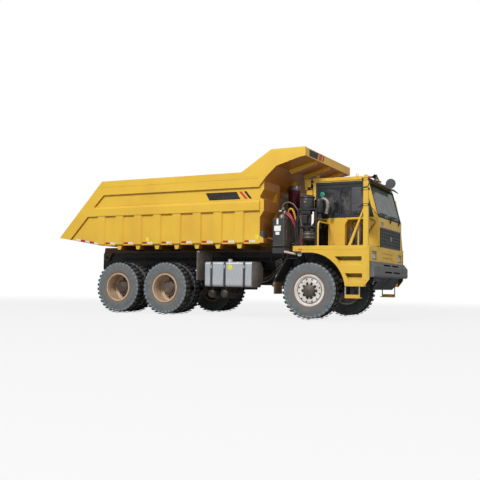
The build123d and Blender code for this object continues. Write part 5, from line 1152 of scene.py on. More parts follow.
bolts("cab_side_screws", [(x, -0.7835, z) for x in (3.30, 3.55) for z in (1.83, 2.01, 2.08, 2.29)]
      + [(4.20, -0.7835, z) for z in (1.80, 2.15, 2.25, 2.41)], (0, -1, 0), 0.007, "chassis", "yellow_paint",
      cab_paint)


# Two upright cans in the alcove: dark grey coolant and washer bottles on a shelf, with their hoses.
CAN_GREY = Finish("can_grey")
can_film = CAN_GREY.cloud(8, 4, 0.6).band(0.3, 0.7)
CAN_GREY.finished(CAN_GREY.mix(can_film, tone(62, 56, 58), tone(92, 82, 80)), can_film * 0.2 + 0.38, can_film,
                  0.0008, 0.3)
cans = []
for x, radius, top in ((3.700, 0.060, 2.20), (3.885, 0.085, 2.29)):
    cans.append(turned([(AXIS, 0.0), (radius * 0.92, 0.0), (radius, 0.012), (radius, top - 1.86),
                        (radius * 0.94, top - 1.842), (radius * 0.4, top - 1.815), (radius * 0.36, top - 1.78),
                        (AXIS, top - 1.778)], (x, -0.640, 1.815), (0, 0, 1), 32))
    for z in (1.93, 2.10):
        cans.append(turned([(radius, 0.0), (radius + 0.004, 0.004), (radius + 0.004, 0.022), (radius, 0.026)],
                           (x, -0.640, z), (0, 0, 1), 32))
cans.append(rod((4.02, -0.62, 1.815), (4.02, -0.62, 2.36), 0.020, 14, 0.002))
cans.append(rod((4.08, -0.66, 1.815), (4.08, -0.66, 2.36), 0.014, 14, 0.002))
settle(joined(cans), "alcove_cans", "chassis", "grey_paint", CAN_GREY)
settle(bar((3.584, 4.166), (-0.772, -0.534), (1.752, 1.814), 0.004), "alcove_shelf", "chassis", "black_paint",
       CHASSIS)
settle(joined([hose([(3.70, -0.64, 2.24), (3.70, -0.64, 2.32), (3.76, -0.62, 2.37), (3.84, -0.60, 2.38),
                     (3.90, -0.58, 2.395)], 0.013), hose([(3.885, -0.64, 2.33), (3.89, -0.64, 2.37),
        (3.95, -0.62, 2.38), (4.00, -0.60, 2.395)], 0.013)]), "alcove_hoses", "chassis", "black_plastic",
       PIPE_BLACK)
notch_pipes = [hose([(2.90 + dx, -0.30 - dy, 1.74), (2.90 + dx, -0.30 - dy, 2.0), (2.92 + dx, -0.31 - dy, 2.2),
                     (2.96 + dx, -0.28 - dy, 2.34), (2.98 + dx, -0.20 - dy, 2.36)], radius)
               for dx, dy, radius in ((0.0, 0.0, 0.026), (0.08, 0.05, 0.022), (0.15, 0.02, 0.018))]
settle(joined(notch_pipes), "notch_pipes", "chassis", "black_plastic", PIPE_BLACK)


# Cab glass: a flat tinted windscreen bonded in a black rubber seal, a dark side window with a
# sliding pane in a black frame, and a rear pane.
def tinted(name, colour, cover):
    """Glass that shows its tint over what is behind it, with a thin film of dust."""
    glass = Finish(name, coat=0.6)
    film = glass.cloud(3, 5, 0.6).band(0.35, 0.8)
    glass.wire(glass.surface.inputs["Alpha"], film * 0.18 + cover)
    return glass.finished(glass.mix(film * 0.5, colour, tone(168, 166, 156)), film * 0.15 + 0.06)


WINDSCREEN = tinted("windscreen_glass", tone(120, 128, 116), 0.62)
SIDE_GLASS = tinted("side_glass", tone(20, 24, 34), 0.68)
glass_normal = Vector((0.964, 0, 0.265))
screen = panel([(4.380, -0.722, 2.452), (4.380, 1.302, 2.452), (4.160, 1.302, 3.250), (4.160, -0.722, 3.250)],
               glass_normal * -0.008, 0.001)
settle(screen, "windscreen", "chassis", "glass", WINDSCREEN, "cab_glass")
seal = ring_plate([(4.3935, -0.752, 2.440), (4.3935, 1.332, 2.440), (4.170, 1.332, 3.262),
                   (4.170, -0.752, 3.262)], 0.052, glass_normal * -0.010, 0.003)
settle(seal, "windscreen_seal", "chassis", "black_plastic", RUBBER_BLACK)
side_pane = panel([(2.876, -0.757, 2.461), (4.258, -0.757, 2.461), (4.031, -0.757, 3.289),
                   (2.876, -0.757, 3.289)], (0, 0.007, 0))
settle(side_pane, "side_window", "chassis", "glass", SIDE_GLASS)
frame_black = enamel("frame_black", tone(26, 27, 32), tone(46, 46, 50), 0.36, 0.3, 0.5, 1.5, 0.0, 0.2)
side_surround = ring_plate([(2.830, -0.7815, 2.432), (4.300, -0.7815, 2.432), (4.056, -0.7815, 3.322),
                            (2.830, -0.7815, 3.322)], 0.066, (0, 0.018, 0), 0.003)
band_top = bar((2.885, 4.020), (-0.764, -0.758), (3.190, 3.262), 0.002)
settle(joined([side_surround, band_top]), "side_window_surround", "chassis", "black_paint", frame_black)
slider = [ring_plate([(2.905, -0.7725, 2.505), (3.735, -0.7725, 2.505), (3.735, -0.7725, 3.195),
                      (2.905, -0.7725, 3.195)], 0.026, (0, 0.012, 0), 0.002),
          bar((3.448, 3.474), (-0.7725, -0.7605), (2.53, 3.17), 0.002),
          bar((3.50, 3.53), (-0.780, -0.768), (2.80, 2.90), 0.003)]
settle(joined(slider), "sliding_window_frame", "chassis", "black_plastic", frame_black)
GREEN_SIGN = Finish("blank_green_sticker")
GREEN_SIGN.finished(GREEN_SIGN.mix(GREEN_SIGN.cloud(20, 3).band(0.3, 0.7), tone(24, 122, 92),
                                   tone(40, 140, 108)), 0.45)
settle(turned([(AXIS, 0.0012), (0.060, 0.0012), (0.064, 0.0), (AXIS, 0.0)], (2.990, -0.7575, 3.030), (0, -1, 0),
              36), "blank_green_disc", "chassis", "glass", GREEN_SIGN)
rear_pane = bar((2.800, 2.808), (-0.300, 0.900), (2.500, 3.050), 0.001, 1)
settle(rear_pane, "rear_window", "chassis", "glass", SIDE_GLASS)
settle(ring_plate([(2.7775, -0.335, 2.465), (2.7775, 0.935, 2.465), (2.7775, 0.935, 3.085),
                   (2.7775, -0.335, 3.085)], 0.045, (0.010, 0, 0), 0.003), "rear_window_seal", "chassis",
       "black_plastic", RUBBER_BLACK)
guard = [rod((2.770, -0.34, z), (2.770, 0.94, z), 0.008, 10) for z in (2.56, 2.67, 2.78, 2.89, 3.00)]
guard += [rod((2.770, y, 2.46), (2.770, y, 3.10), 0.010, 10) for y in (-0.34, 0.30, 0.94)]
settle(joined(guard), "rear_window_guard", "chassis", "black_paint", CHASSIS)


# Cab door on the left: a pressed panel on two hinges, with a pull handle, a lock and a step tread.
dress(cab_paint, "door_left")
dress(SIDE_GLASS, "door_glass")
door_skin = ring_plate([(3.130, 1.3625, 1.842), (4.040, 1.3625, 1.842), (4.040, 1.3625, 3.300),
                        (3.130, 1.3625, 3.300)], 0.040, (0, -0.004, 0), 0.0015)
door_panel = bar((3.215, 3.955), (1.3595, 1.3635), (1.93, 2.36), 0.0018)
settle(joined([door_skin, door_panel]), "door_pressings", "door_left", "yellow_paint", cab_paint)
settle(ring_plate([(3.185, 1.3640, 2.445), (3.985, 1.3640, 2.445), (3.985, 1.3640, 3.265),
                   (3.185, 1.3640, 3.265)], 0.030, (0, -0.014, 0), 0.003), "door_window_seal", "door_left",
       "black_plastic", RUBBER_BLACK)
handle = [hose([(3.19, 1.362, 2.30), (3.19, 1.402, 2.30), (3.19, 1.408, 2.26), (3.19, 1.408, 2.14),
                (3.19, 1.402, 2.10), (3.19, 1.362, 2.10)], 0.009), bar((3.165, 3.215), (1.360, 1.368),
        (2.075, 2.325), 0.003), turned([(AXIS, 0.010), (0.012, 0.009), (0.016, 0.0), (AXIS, 0.0)],
        (3.19, 1.366, 2.045), (0, 1, 0), 16)]
settle(joined(handle), "door_handle", "door_left", "black_plastic", WIPER)
bolts("door_hinge_screws", [(3.994 + dx, 1.378, z + dz) for z in (1.980, 3.160) for dx in (0.0, 0.03)
                            for dz in (-0.012, 0.012)], (0, 1, 0), 0.005, "door_left", "steel", STEEL_CAP)


# Seats: two suspension seats with foam cushions in dark cloth, piped at their edges, each on a
# pedestal with a rubber bellows. The cushions are swollen as cloth under pressure, then trimmed.
SEAT_CLOTH = Finish("seat_cloth")
weave = SEAT_CLOTH.cloud(420, 2)
ribs = SEAT_CLOTH.node("ShaderNodeTexWave", {"wave_type": "BANDS", "bands_direction": "Y"},
                       {"Vector": SEAT_CLOTH.place, "Scale": 9.0}, "Fac")
SEAT_CLOTH.finished(SEAT_CLOTH.mix(SEAT_CLOTH.cloud(5, 3).band(0.3, 0.7), tone(58, 58, 62), tone(92, 88, 84)),
                    0.85, weave + ribs, 0.003, 0.6)
SEATS = ((3.230, -0.230), (2.940, 0.780))


def stuffed(x, y, z, swell=0.024):
    """A foam pad: a rounded block in its cover, swollen from inside as far as its trim lets it."""
    block = bar(x, y, z, 0.030, 4)
    cover = bpy.data.objects.new("pad", block.data.copy())
    bpy.context.scene.collection.objects.link(cover)
    bpy.data.objects.remove(block)
    pick(cover)
    cover.data.remesh_voxel_size = 0.006
    bpy.ops.object.voxel_remesh()
    at_rest = [vertex.co.copy() for vertex in cover.data.vertices]
    cloth = cover.modifiers.new("swell", "CLOTH")
    cloth.settings.use_pressure = True
    cloth.settings.uniform_pressure_force = 4
    cloth.settings.effector_weights.gravity = 0
    cloth.point_cache.frame_end = 20
    for step in range(1, 21):
        bpy.context.scene.frame_set(step)
    bpy.ops.object.modifier_apply(modifier="swell")
    for vertex, home in zip(cover.data.vertices, at_rest):
        moved = vertex.co - home
        if moved.length > swell:
            vertex.co = home + moved * (swell / moved.length)
    smooth(cover, 80)
    return cover


def piping(cover, points):
    """A piped seam that lies on the cover along a loop of points."""
    loop = []
    for start, end in zip(points, points[1:] + points[:1]):
        for share in (0, 0.25, 0.5, 0.75):
            loop.append(tuple(cover.closest_point_on_mesh(Vector(start).lerp(Vector(end), share))[1]))
    return hose(loop + loop[:1], 0.0045, 1)


x, y = SEATS[0]
cushion = stuffed((x + 0.11, x + 0.54), (y - 0.22, y + 0.22), (2.150, 2.240))
backrest = stuffed((x + 0.02, x + 0.11), (y - 0.21, y + 0.21), (2.26, 2.85))
seams = [piping(cushion, [(x + 0.13, y - 0.20, 2.27), (x + 0.52, y - 0.20, 2.27), (x + 0.52, y + 0.20, 2.27),
                          (x + 0.13, y + 0.20, 2.27)]),
         piping(backrest, [(x + 0.15, y - 0.19, 2.28), (x + 0.15, y + 0.19, 2.28), (x + 0.15, y + 0.19, 2.83),
                           (x + 0.15, y - 0.19, 2.83)]),
         piping(backrest, [(x + 0.15, y - 0.19, 2.62), (x + 0.15, y + 0.19, 2.62)])]
base = [bar((x + 0.09, x + 0.54), (y - 0.21, y + 0.21), (2.105, 2.140), 0.008),
        bar((x + 0.15, x + 0.50), (y - 0.17, y + 0.17), (1.812, 1.850), 0.006)]
base += [bar((x + 0.18 - 0.012 * (i % 2), x + 0.47 + 0.012 * (i % 2)),
             (y - 0.14 - 0.012 * (i % 2), y + 0.14 + 0.012 * (i % 2)), (1.846 + 0.033 * i, 1.884 + 0.033 * i),
             0.012) for i in range(8)]
base += [rod((x + 0.05, y + side * 0.235, 2.36), (x + 0.33, y + side * 0.235, 2.40), 0.022, 14, 0.008)
         for side in (-1, 1)]
base += [bar((x + 0.012, x + 0.05), (y - 0.235, y + 0.235), (2.33, 2.40), 0.008)]
seat_parts = (("cushion", cushion, SEAT_CLOTH, "fabric"), ("backrest", backrest, SEAT_CLOTH, "fabric"),
              ("seams", joined(seams), WIPER, "fabric"), ("base", joined(base), RUBBER_BLACK, "black_plastic"))
for part_name, part, finish, slot in seat_parts:
    for (seat_x, seat_y), word in zip(SEATS, ("passenger", "driver")):
        again = bpy.data.objects.new(part_name, part.data.copy())
        bpy.context.scene.collection.objects.link(again)
        again.data.transform(Matrix.Translation((seat_x - x, seat_y - y, 0)))
        settle(again, f"{word}_seat_{part_name}", "chassis", slot, finish, "seats")
    bpy.data.objects.remove(part)


# Dashboard: moulded dark plastic with a hooded gauge cluster, rocker switches, and the lorry-type
# steering wheel on its column; a gear lever and two pedals stand on the floor.
DASH = Finish("dash_plastic")
DASH.finished(DASH.mix(DASH.cloud(6, 3).band(0.3, 0.7), tone(44, 44, 48), tone(62, 60, 60)), 0.55,
              DASH.cloud(500, 2), 0.0006, 0.4)
dress(DASH, "dashboard")
gauges = [turned([(AXIS, 0.006), (r * 0.85, 0.006), (r, 0.012), (r, 0.0), (AXIS, 0.0)], (4.036, y, 2.375),
                 (-0.8, 0, 0.6), 28) for y, r in ((0.62, 0.045), (0.94, 0.045), (0.73, 0.028), (0.83, 0.028),
        (0.78, 0.020))]
settle(joined(gauges), "gauges", "chassis", "black_plastic", WIPER)
fittings = [bar((4.055, 4.16), (0.54, 1.02), (2.424, 2.455), 0.012)]
fittings += [bar((4.010, 4.020), (y, y + 0.03), (2.22, 2.27), 0.003, 1)
             for y in (-0.2, -0.15, -0.10, -0.05, 0.0, 0.30, 0.35, 0.40)]
fittings += [hose([(3.62, 0.40, 1.812), (3.62, 0.40, 2.02), (3.60, 0.40, 2.24)], 0.010),
             turned([(AXIS, 0.035), (0.020, 0.028), (0.026, 0.0), (0.018, -0.026), (AXIS, -0.032)],
        (3.60, 0.40, 2.27), (0, 0, 1), 18)]
fittings += [panel([(4.12, y, 1.86), (4.12, y + 0.09, 1.86), (4.20, y + 0.09, 1.98), (4.20, y, 1.98)],
                   (-0.012, 0, 0.006), 0.002) for y in (0.62, 0.90)]
fittings += [hose([(3.86, 0.74, 2.42), (3.88, 0.62, 2.46), (3.87, 0.55, 2.47)], 0.007)]
settle(joined(fittings), "cab_controls", "chassis", "black_plastic", DASH)


# Visor, mirrors and rails: a black sheet visor, moulded mirror heads with silvered glass, and
# yellow tube rails with a boxed corner post that carries the mirrors in bolted clamps.
VISOR_BLACK = enamel("visor_black", tone(24, 24, 27), tone(40, 39, 40), 0.4, 0.45, 0.5, 1.5)
MIRROR_SHELL = enamel("mirror_shell", tone(66, 66, 72), tone(84, 82, 84), 0.4, 0.3, 0.5, 1.5)
dress(VISOR_BLACK, "sun_visor")
dress(MIRROR_SHELL, "mirrors")
RAIL_YELLOW = truck_yellow("rail_yellow", 0.34, 0.35, 1.6, 2.3)
dress(RAIL_YELLOW, "handrails")
SILVERED = Finish("silvered_glass", 1.0)
SILVERED.finished(SILVERED.mix(SILVERED.cloud(4, 3).band(0.4, 0.8), tone(196, 200, 204), tone(150, 150, 146)),
                  0.08)
shells, glasses = [], []
for y, x0, x1 in ((-1.500, 3.990, 4.210), (1.500, 3.995, 4.160)):
    for z0, z1 in ((2.700, 3.060), (2.520, 2.670)):
        shells.append(ring_plate([(x0 - 0.002, y - 0.027, z0 - 0.002), (x0 - 0.002, y + 0.027, z0 - 0.002),
                                  (x0 - 0.002, y + 0.027, z1 + 0.002), (x0 - 0.002, y - 0.027, z1 + 0.002)],
                                 0.007, (0.02, 0, 0), 0.002))
        glasses.append(bar((x0 - 0.0015, x0 + 0.001), (y - 0.019, y + 0.019), (z0 + 0.008, z1 - 0.008), 0.0006,
                           1))
        for height in (z0 + 0.07, z1 - 0.05):
            shells.append(bar((x0 + 0.03, x1 - 0.03), sorted((y - 0.027, y - 0.024)),
                              (height - 0.008, height + 0.008), 0.001, 1))
settle(joined(shells), "mirror_rims", "chassis", "black_plastic", MIRROR_SHELL)
settle(joined(glasses), "mirror_glasses", "chassis", "glass", SILVERED)
clamps = []
for z in (3.235, 3.012, 2.652):
    clamps.append(ring_plate([(4.266, -1.549, z - 0.028), (4.384, -1.549, z - 0.028),
                              (4.384, -1.549, z + 0.028), (4.266, -1.549, z + 0.028)], 0.006, (0, 0.093, 0),
                             0.001))
    clamps.append(bar((4.236, 4.270), (-1.556, -1.51), (z - 0.03, z + 0.03), 0.006))
    clamps.append(bar((4.380, 4.412), (-1.53, -1.49), (z - 0.02, z + 0.02), 0.006))
clamps += [hose([(4.25, -1.555, 3.06), (4.33, -1.562, 3.04), (4.41, -1.53, 3.10), (4.43, -1.50, 3.24)], 0.008),
           hose([(4.40, -1.53, 2.66), (4.42, -1.40, 2.60), (4.41, -1.10, 2.52), (4.40, -0.80, 2.47)], 0.006),
           hose([(4.25, -1.555, 2.66), (4.18, -1.54, 2.60), (4.10, -1.50, 2.57), (4.05, -1.40, 2.47),
        (4.00, -0.80, 2.44)], 0.006)]
settle(joined(clamps), "post_clamps", "chassis", "black_paint", VISOR_BLACK)
settle(bar((4.384, 4.418), (-1.52, -1.47), (3.245, 3.300), 0.006), "post_reflector", "chassis", "lamp",
       RED_HOSE)
feet = [turned([(AXIS, 0.012), (0.026, 0.012), (0.050, 0.008), (0.052, 0.0), (AXIS, 0.0)], place, (0, 0, 1),
               24) for place in ((3.170, -1.500, 1.730), (4.130, -1.440, 1.730), (4.373, 1.500, 1.730),
        (3.030, 1.500, 1.730))]
feet.append(bar((4.262, 4.388), (-1.548, -1.452), (1.729, 1.742), 0.003))
settle(joined(feet), "rail_feet", "chassis", "yellow_paint", RAIL_YELLOW)
bolts("post_foot_bolts", [(x, y, 1.742) for x in (4.27, 4.38) for y in (-1.54, -1.46)], (0, 0, 1), 0.008,
      "chassis", "steel", STEEL_CAP)
beacon = [turned([(AXIS, 0.17), (0.010, 0.165), (0.030, 0.10), (0.070, 0.02), (0.072, 0.0), (AXIS, 0.0)],
                 (4.225, -0.345, 3.350), (0, 0, 1), 28), bar((4.17, 4.28), (-0.44, -0.25), (3.338, 3.354),
        0.004)]
settle(joined(beacon), "roof_cone_lamp", "chassis", "black_plastic", VISOR_BLACK)
settle(joined([bar((4.262, 4.300), (-0.50, -0.42), (3.330, 3.375), 0.008),
               bar((4.262, 4.300), (-0.26, -0.18), (3.330, 3.375), 0.008)]), "roof_marker_lamps", "chassis",
       "lamp", AMBER)


# Air intake: two moulded pre-cleaner cans on a bolted steel frame, with a bright elbow between
# them, a drum housing below and hoses that go down to the engine.
INTAKE = enamel("intake_plastic", tone(32, 32, 36), tone(58, 57, 58), 0.45, 0.4, 1.6, 3.2)
can_1, can_2 = (2.780, -1.200), (3.015, -1.000)
intake = [turned([(AXIS, 2.981), (0.05, 2.979), (0.13, 2.962), (0.184, 2.925), (0.187, 2.906), (0.170, 2.898),
                  (0.163, 2.885), (0.165, 2.880), (0.165, 2.660), (0.155, 2.630), (0.10, 2.600), (0.085, 2.57),
                  (0.085, 2.34), (0.098, 2.33), (0.098, 2.26), (0.075, 2.22), (0.072, 2.08), (AXIS, 2.08)],
                 (*can_1, 0), (0, 0, 1), 56), turned([(AXIS, 2.900), (0.07, 2.896), (0.114, 2.874),
        (0.121, 2.855), (0.121, 2.600), (0.110, 2.562), (0.062, 2.550), (0.058, 2.30), (AXIS, 2.30)],
        (*can_2, 0), (0, 0, 1), 44), turned([(AXIS, 2.115), (0.060, 2.110), (0.122, 2.092), (0.146, 2.060),
        (0.149, 1.99), (0.146, 1.92), (0.112, 1.885), (AXIS, 1.880)], (2.827, -1.200, 0), (0, 0, 1), 48)]
for x, y, radius, levels in ((*can_1, 0.165, (2.70, 2.76, 2.82)), (*can_2, 0.121, (2.64, 2.70, 2.76, 2.82))):
    for z in levels:
        intake.append(turned([(radius - 0.002, z - 0.004), (radius + 0.005, z - 0.002),
                              (radius + 0.005, z + 0.008), (radius - 0.002, z + 0.010)], (x, y, 0), (0, 0, 1),
                             48))
for i in range(22):
    angle = math.tau * i / 22
    intake.append(bar((can_1[0] + 0.150 * math.cos(angle) - 0.004, can_1[0] + 0.150 * math.cos(angle) + 0.004),
                      (can_1[1] + 0.150 * math.sin(angle) - 0.004, can_1[1] + 0.150 * math.sin(angle) + 0.004),
                      (2.930, 2.956), 0.001, 1))
settle(joined(intake), "air_cleaner_cans", "chassis", "black_plastic", INTAKE, "air_cleaner")
bands = [turned([(r, z), (r + 0.004, z + 0.001), (r + 0.004, z + 0.017), (r, z + 0.018)], (x, y, 0), (0, 0, 1),
                44) for x, y, r, z in ((*can_1, 0.086, 2.49), (*can_1, 0.086, 2.36), (2.827, -1.2, 0.148, 1.94),
        (2.827, -1.2, 0.148, 2.02), (*can_2, 0.058, 2.40), (*can_2, 0.058, 2.32))]
bands += [turned([(AXIS, 0.010), (0.020, 0.010), (0.024, 0.0), (AXIS, 0.0)], (can_1[0], can_1[1] - 0.167, 2.79),
                 (0, -1, 0), 16)]
settle(joined(bands), "intake_clamp_bands", "chassis", "steel", STEEL_CAP)
settle(hose([(3.04, -1.01, 2.84), (3.10, -1.05, 2.90), (3.20, -1.06, 2.87), (3.245, -1.06, 2.80),
             (3.240, -1.05, 2.66), (3.20, -1.04, 2.53)], 0.044, 6), "intake_bright_elbow", "chassis", "steel",
       STEEL_CAP)
stand = []
for x, y in ((2.615, -1.03), (2.615, -1.37), (2.985, -1.03), (3.065, -1.37)):
    stand.append(ribbon([(x - 0.02, y, 1.732), (x + 0.02, y, 1.732), (x + 0.02, y + 0.03, 1.732)], (0, 0, 0.90),
                        0.005))
for z in (2.18, 2.59):
    stand += [bar((2.60, 3.08), (y - 0.004, y + 0.004), (z, z + 0.04), 0.002) for y in (-1.37, -1.03)]
    stand += [bar((x - 0.004, x + 0.004), (-1.37, -1.03), (z, z + 0.04), 0.002) for x in (2.615, 2.985)]
stand += [bar((2.66, 2.92), (-1.36, -1.21), (2.50, 2.58), 0.010), bar((2.70, 2.84), (-1.37, -1.25),
        (2.27, 2.47), 0.014), bar((2.985, 3.05), (-1.06, -0.96), (2.52, 2.55), 0.004)]
settle(joined(stand), "intake_stand", "chassis", "black_paint", CHASSIS)
intake_hoses = [hose([(2.79, -1.2, 2.12), (2.74, -1.10, 2.16), (2.62, -0.95, 2.20), (2.56, -0.80, 2.05),
                      (2.55, -0.62, 1.75)], 0.062, 5), hose([(3.01, -1.0, 2.34), (3.00, -1.0, 2.22),
        (2.93, -0.98, 2.12), (2.80, -0.90, 2.05), (2.70, -0.74, 1.95), (2.66, -0.62, 1.72)], 0.045, 5),
                hose([(2.60, -1.40, 2.44), (2.56, -1.40, 2.30), (2.56, -1.38, 1.95), (2.58, -1.34, 1.735)],
        0.022), hose([(2.64, -1.42, 2.46), (2.60, -1.43, 2.20), (2.63, -1.40, 1.90), (2.66, -1.34, 1.735)],
        0.017)]
settle(joined(intake_hoses), "intake_hoses", "chassis", "black_plastic", RUBBER_BLACK)
shield = [panel([(2.43, -0.24, 1.66), (2.86, -0.24, 1.66), (2.86, -0.24, 2.39), (2.56, -0.24, 2.39),
                 (2.43, -0.24, 2.26)], (0, 0.02, 0), 0.006), bar((2.745, 2.768), (-0.70, -0.22), (1.66, 2.44),
        0.004), rod((2.66, -0.36, 1.68), (2.66, -0.36, 2.38), 0.060, 24, 0.01),
          rod((2.50, -0.40, 1.68), (2.50, -0.40, 2.26), 0.045, 24, 0.01),
          hose([(2.70, -0.60, 1.70), (2.71, -0.62, 2.0), (2.73, -0.50, 2.30), (2.75, -0.34, 2.40)], 0.020)]
settle(joined(shield), "engine_bay_shield", "chassis", "iron", CASTING)


# Load bed: welded wear plate in yellow, with pressed ribs, rails and stripes. Its load floor is
# scoured bright, and its undersides, forward faces and the space under the floor are painted brown as shade.
def load_paint(name, shade):
    """Bed yellow on open faces, painted shade in brown below and in front, scoured steel where the load slides.
    """
    paint = Finish(name)
    across, along, lift = paint.facing()
    east, north, height = paint.split(paint.place)
    patches = paint.cloud(0.9, 4).band(0.35, 0.72)
    runs = paint.cloud(1.0, 4, 0.6, paint.stretched((9, 9, 0.6))).band(0.5, 0.8)
    specks = paint.cloud(30, 5, 0.7).band(0.55, 0.75)
    film = (runs * 0.22 + specks * 0.12 + lift.band(0.3, 0.95) * 0.5 + (1 - height.band(1.8, 2.5)) * 0.12)
    film = film * paint.cloud(4, 5, 0.65).band(0.2, 0.75)
    sunny = paint.mix(film.band(0, 1), paint.mix(patches, YELLOW, FADED), DUST)
    painted_shade_brown = paint.mix(specks * 0.5 + runs * 0.4, tone(*shade), tone(120, 70, 28))
    # Painted shade: faces that look down, and faces that look forward behind the canopy lip, get the brown shade
    # colour
    under = (0 - lift).band(0.15, 0.6)
    beside = north.maths("ABSOLUTE", north)
    forward = across.band(0.6, 0.95) * (1 - east.band(2.84, 2.87)) * (1 - beside.band(1.555, 1.56))
    outer = paint.mix(under.maths("MAXIMUM", under, forward), sunny, painted_shade_brown)
    # Painted shade: below the floor and inside the side plates the bed is painted dark brown, as it lies in
    # shadow
    outer = paint.mix((1 - beside.band(1.40, 1.42)) * (1 - height.band(1.785, 1.798)), outer, tone(104, 72, 38))
    hold = (1 - beside.band(1.556, 1.560)) * (1 - east.band(1.672, 1.680)) * height.band(1.82,
            1.84) * (1 - under)
    scored = paint.cloud(1.0, 5, 0.7, paint.stretched((1.2, 26, 26))).band(0.4, 0.7)
    scoured = paint.mix(scored, tone(150, 138, 122), tone(104, 88, 70))
    upper = height.band(2.7, 3.3) * 0.75
    worn = paint.mix(upper, scoured, paint.mix(runs, tone(206, 156, 52), DUST))
    inside = paint.mix(hold, outer, worn)
    return paint.finished(inside, film * 0.4 + 0.36 + hold * 0.15, paint.cloud(120, 2) + specks * 0.4, 0.0006,
                          0.25)


BED_YELLOW = load_paint("bed_yellow", (178, 112, 36))
dress(BED_YELLOW, "bed_right_side", "bed_left_side", "bed_floor", "bed_front_wall", "bed_canopy",
      "bed_subframe")


def sticker(name, colour, worn, rough=0.4):
    """Self-adhesive film that has chalked a little."""
    film = Finish(name)
    chalk = film.cloud(18, 4, 0.6).band(0.45, 0.75)
    return film.finished(film.mix(chalk * 0.6, colour, worn), chalk * 0.2 + rough)


BLACK_FILM = sticker("black_stripe", tone(34, 30, 30), tone(70, 62, 56))
RED_FILM = sticker("red_stripe", tone(206, 62, 34), tone(184, 90, 60))
WHITE_TAPE = sticker("white_tape", tone(226, 222, 214), tone(180, 170, 156))
RED_TAPE = sticker("red_tape", tone(176, 36, 30), tone(140, 60, 48))
RIB_X = [1.145 - 0.606 * i for i in range(8)]
for hand, side in (("right", -1), ("left", 1)):
    face = side * 1.5802
    film = (0, side * 0.0014, 0)
    red_tapes, white_tapes = [], []
    for x in [1.42] + [(a + b) / 2 for a, b in zip(RIB_X, RIB_X[1:])]:
        red_tapes.append(panel([(x - 0.16, face, 1.835), (x - 0.01, face, 1.835), (x - 0.01, face, 1.885),
                                (x - 0.16, face, 1.885)], film))
        white_tapes.append(panel([(x - 0.01, face, 1.835), (x + 0.16, face, 1.835), (x + 0.16, face, 1.885),
                                  (x - 0.01, face, 1.885)], film))
    tail_edge = [(-3.935, 1.950), (-3.764, 1.928), (-3.608, 1.901), (-3.459, 1.876), (-3.306, 1.850),
                 (-3.160, 1.826)]
    for i, ((x0, z0), (x1, z1)) in enumerate(zip(tail_edge, tail_edge[1:])):
        rail = side * 1.6352
        (red_tapes if i % 2 else white_tapes).append(panel([(x0, rail, z0), (x1, rail, z1),
                (x1, rail, z1 + 0.05), (x0, rail, z0 + 0.05)], film))
    settle(joined(red_tapes), f"red_tapes_{hand}", "bed", "red_paint", RED_TAPE)
    settle(joined(white_tapes), f"white_tapes_{hand}", "bed", "grey_paint", WHITE_TAPE)
    settle(joined([panel([(a, face, 3.09), (b, face, 3.09), (c, face, 2.90), (d, face, 2.90)], film)
                   for a, b, c, d in ((0.17, 1.05, 1.16, 0.28), (1.25, 1.32, 1.48, 1.41))]),
           f"black_stripes_{hand}", "bed", "black_paint", BLACK_FILM)
    settle(panel([(1.11, face, 3.09), (1.19, face, 3.09), (1.37, face, 2.90), (1.29, face, 2.90)], film),
           f"red_stripe_{hand}", "bed", "red_paint", RED_FILM)
    settle(joined([bar((-1.629, -1.529), sorted((face, face + side * 0.002)), (1.90, 2.00), 0.0008, 1),
                   bar((1.575, 1.665), sorted((face, face + side * 0.002)), (1.90, 2.02), 0.0008, 1)]),
           f"blank_bed_labels_{hand}", "bed", "yellow_paint", YELLOW_SIGN)
    bolts(f"rail_rivets_{hand}", [(1.07 + 0.10 * i, side * 1.635, 3.450) for i in range(7)], (0, side, 0),
          0.009, "bed", "steel", BED_YELLOW)
    welds = [hose([(x + foot * 0.139, side * 1.581, 1.83), (x + foot * 0.139, side * 1.581, 2.2),
                   (x + foot * 0.139, side * 1.581, 2.598)], 0.005, 1) for x in RIB_X for foot in (-1, 1)]
    welds += [hose([(x0, side * 1.6353, z), (x0 * 0.5, side * 1.6355, z), (1.68, side * 1.6353, z)], 0.0035, 1)
              for x0, z in ((-3.05, 3.392), (-3.2, 2.612))]
    welds += [hose([(-3.02, face, 3.172), (-1, face, 3.172), (1.69, face, 3.172)], 0.005, 1),
              hose([(-3.33, face, 2.874), (-1, face, 2.874), (1.69, face, 2.874)], 0.005, 1)]
    settle(joined(welds), f"bed_welds_{hand}", "bed", "yellow_paint", BED_YELLOW)
    settle(joined([bar((1.699, 1.792), sorted((side * 1.44, side * 1.57)), (1.835, 2.10), 0.006),
                   bar((1.699, 1.775), sorted((side * 1.30, side * 1.42)), (1.90, 2.04), 0.006)]),
           f"front_wall_bracket_{hand}", "bed", "grey_paint", CASTING)
lip_x = 2.8905
settle(panel([(lip_x, -1.38, 3.885), (lip_x, -0.86, 3.885), (lip_x, -0.77, 4.045), (lip_x, -1.38, 4.045)],
             (0.0014, 0, 0)), "lip_black_block", "bed", "black_paint", BLACK_FILM)
settle(joined([panel([(lip_x, a, 3.885), (lip_x, a + 0.20, 3.885), (lip_x, a + 0.29, 4.045),
                      (lip_x, a + 0.09, 4.045)], (0.0014, 0, 0)) for a in (-0.79,)]), "lip_red_stripe", "bed",
       "red_paint", RED_FILM)
settle(panel([(lip_x, -0.52, 3.885), (lip_x, -0.46, 3.885), (lip_x, -0.37, 4.045), (lip_x, -0.43, 4.045)],
             (0.0014, 0, 0)), "lip_thin_stripe", "bed", "black_paint", BLACK_FILM)


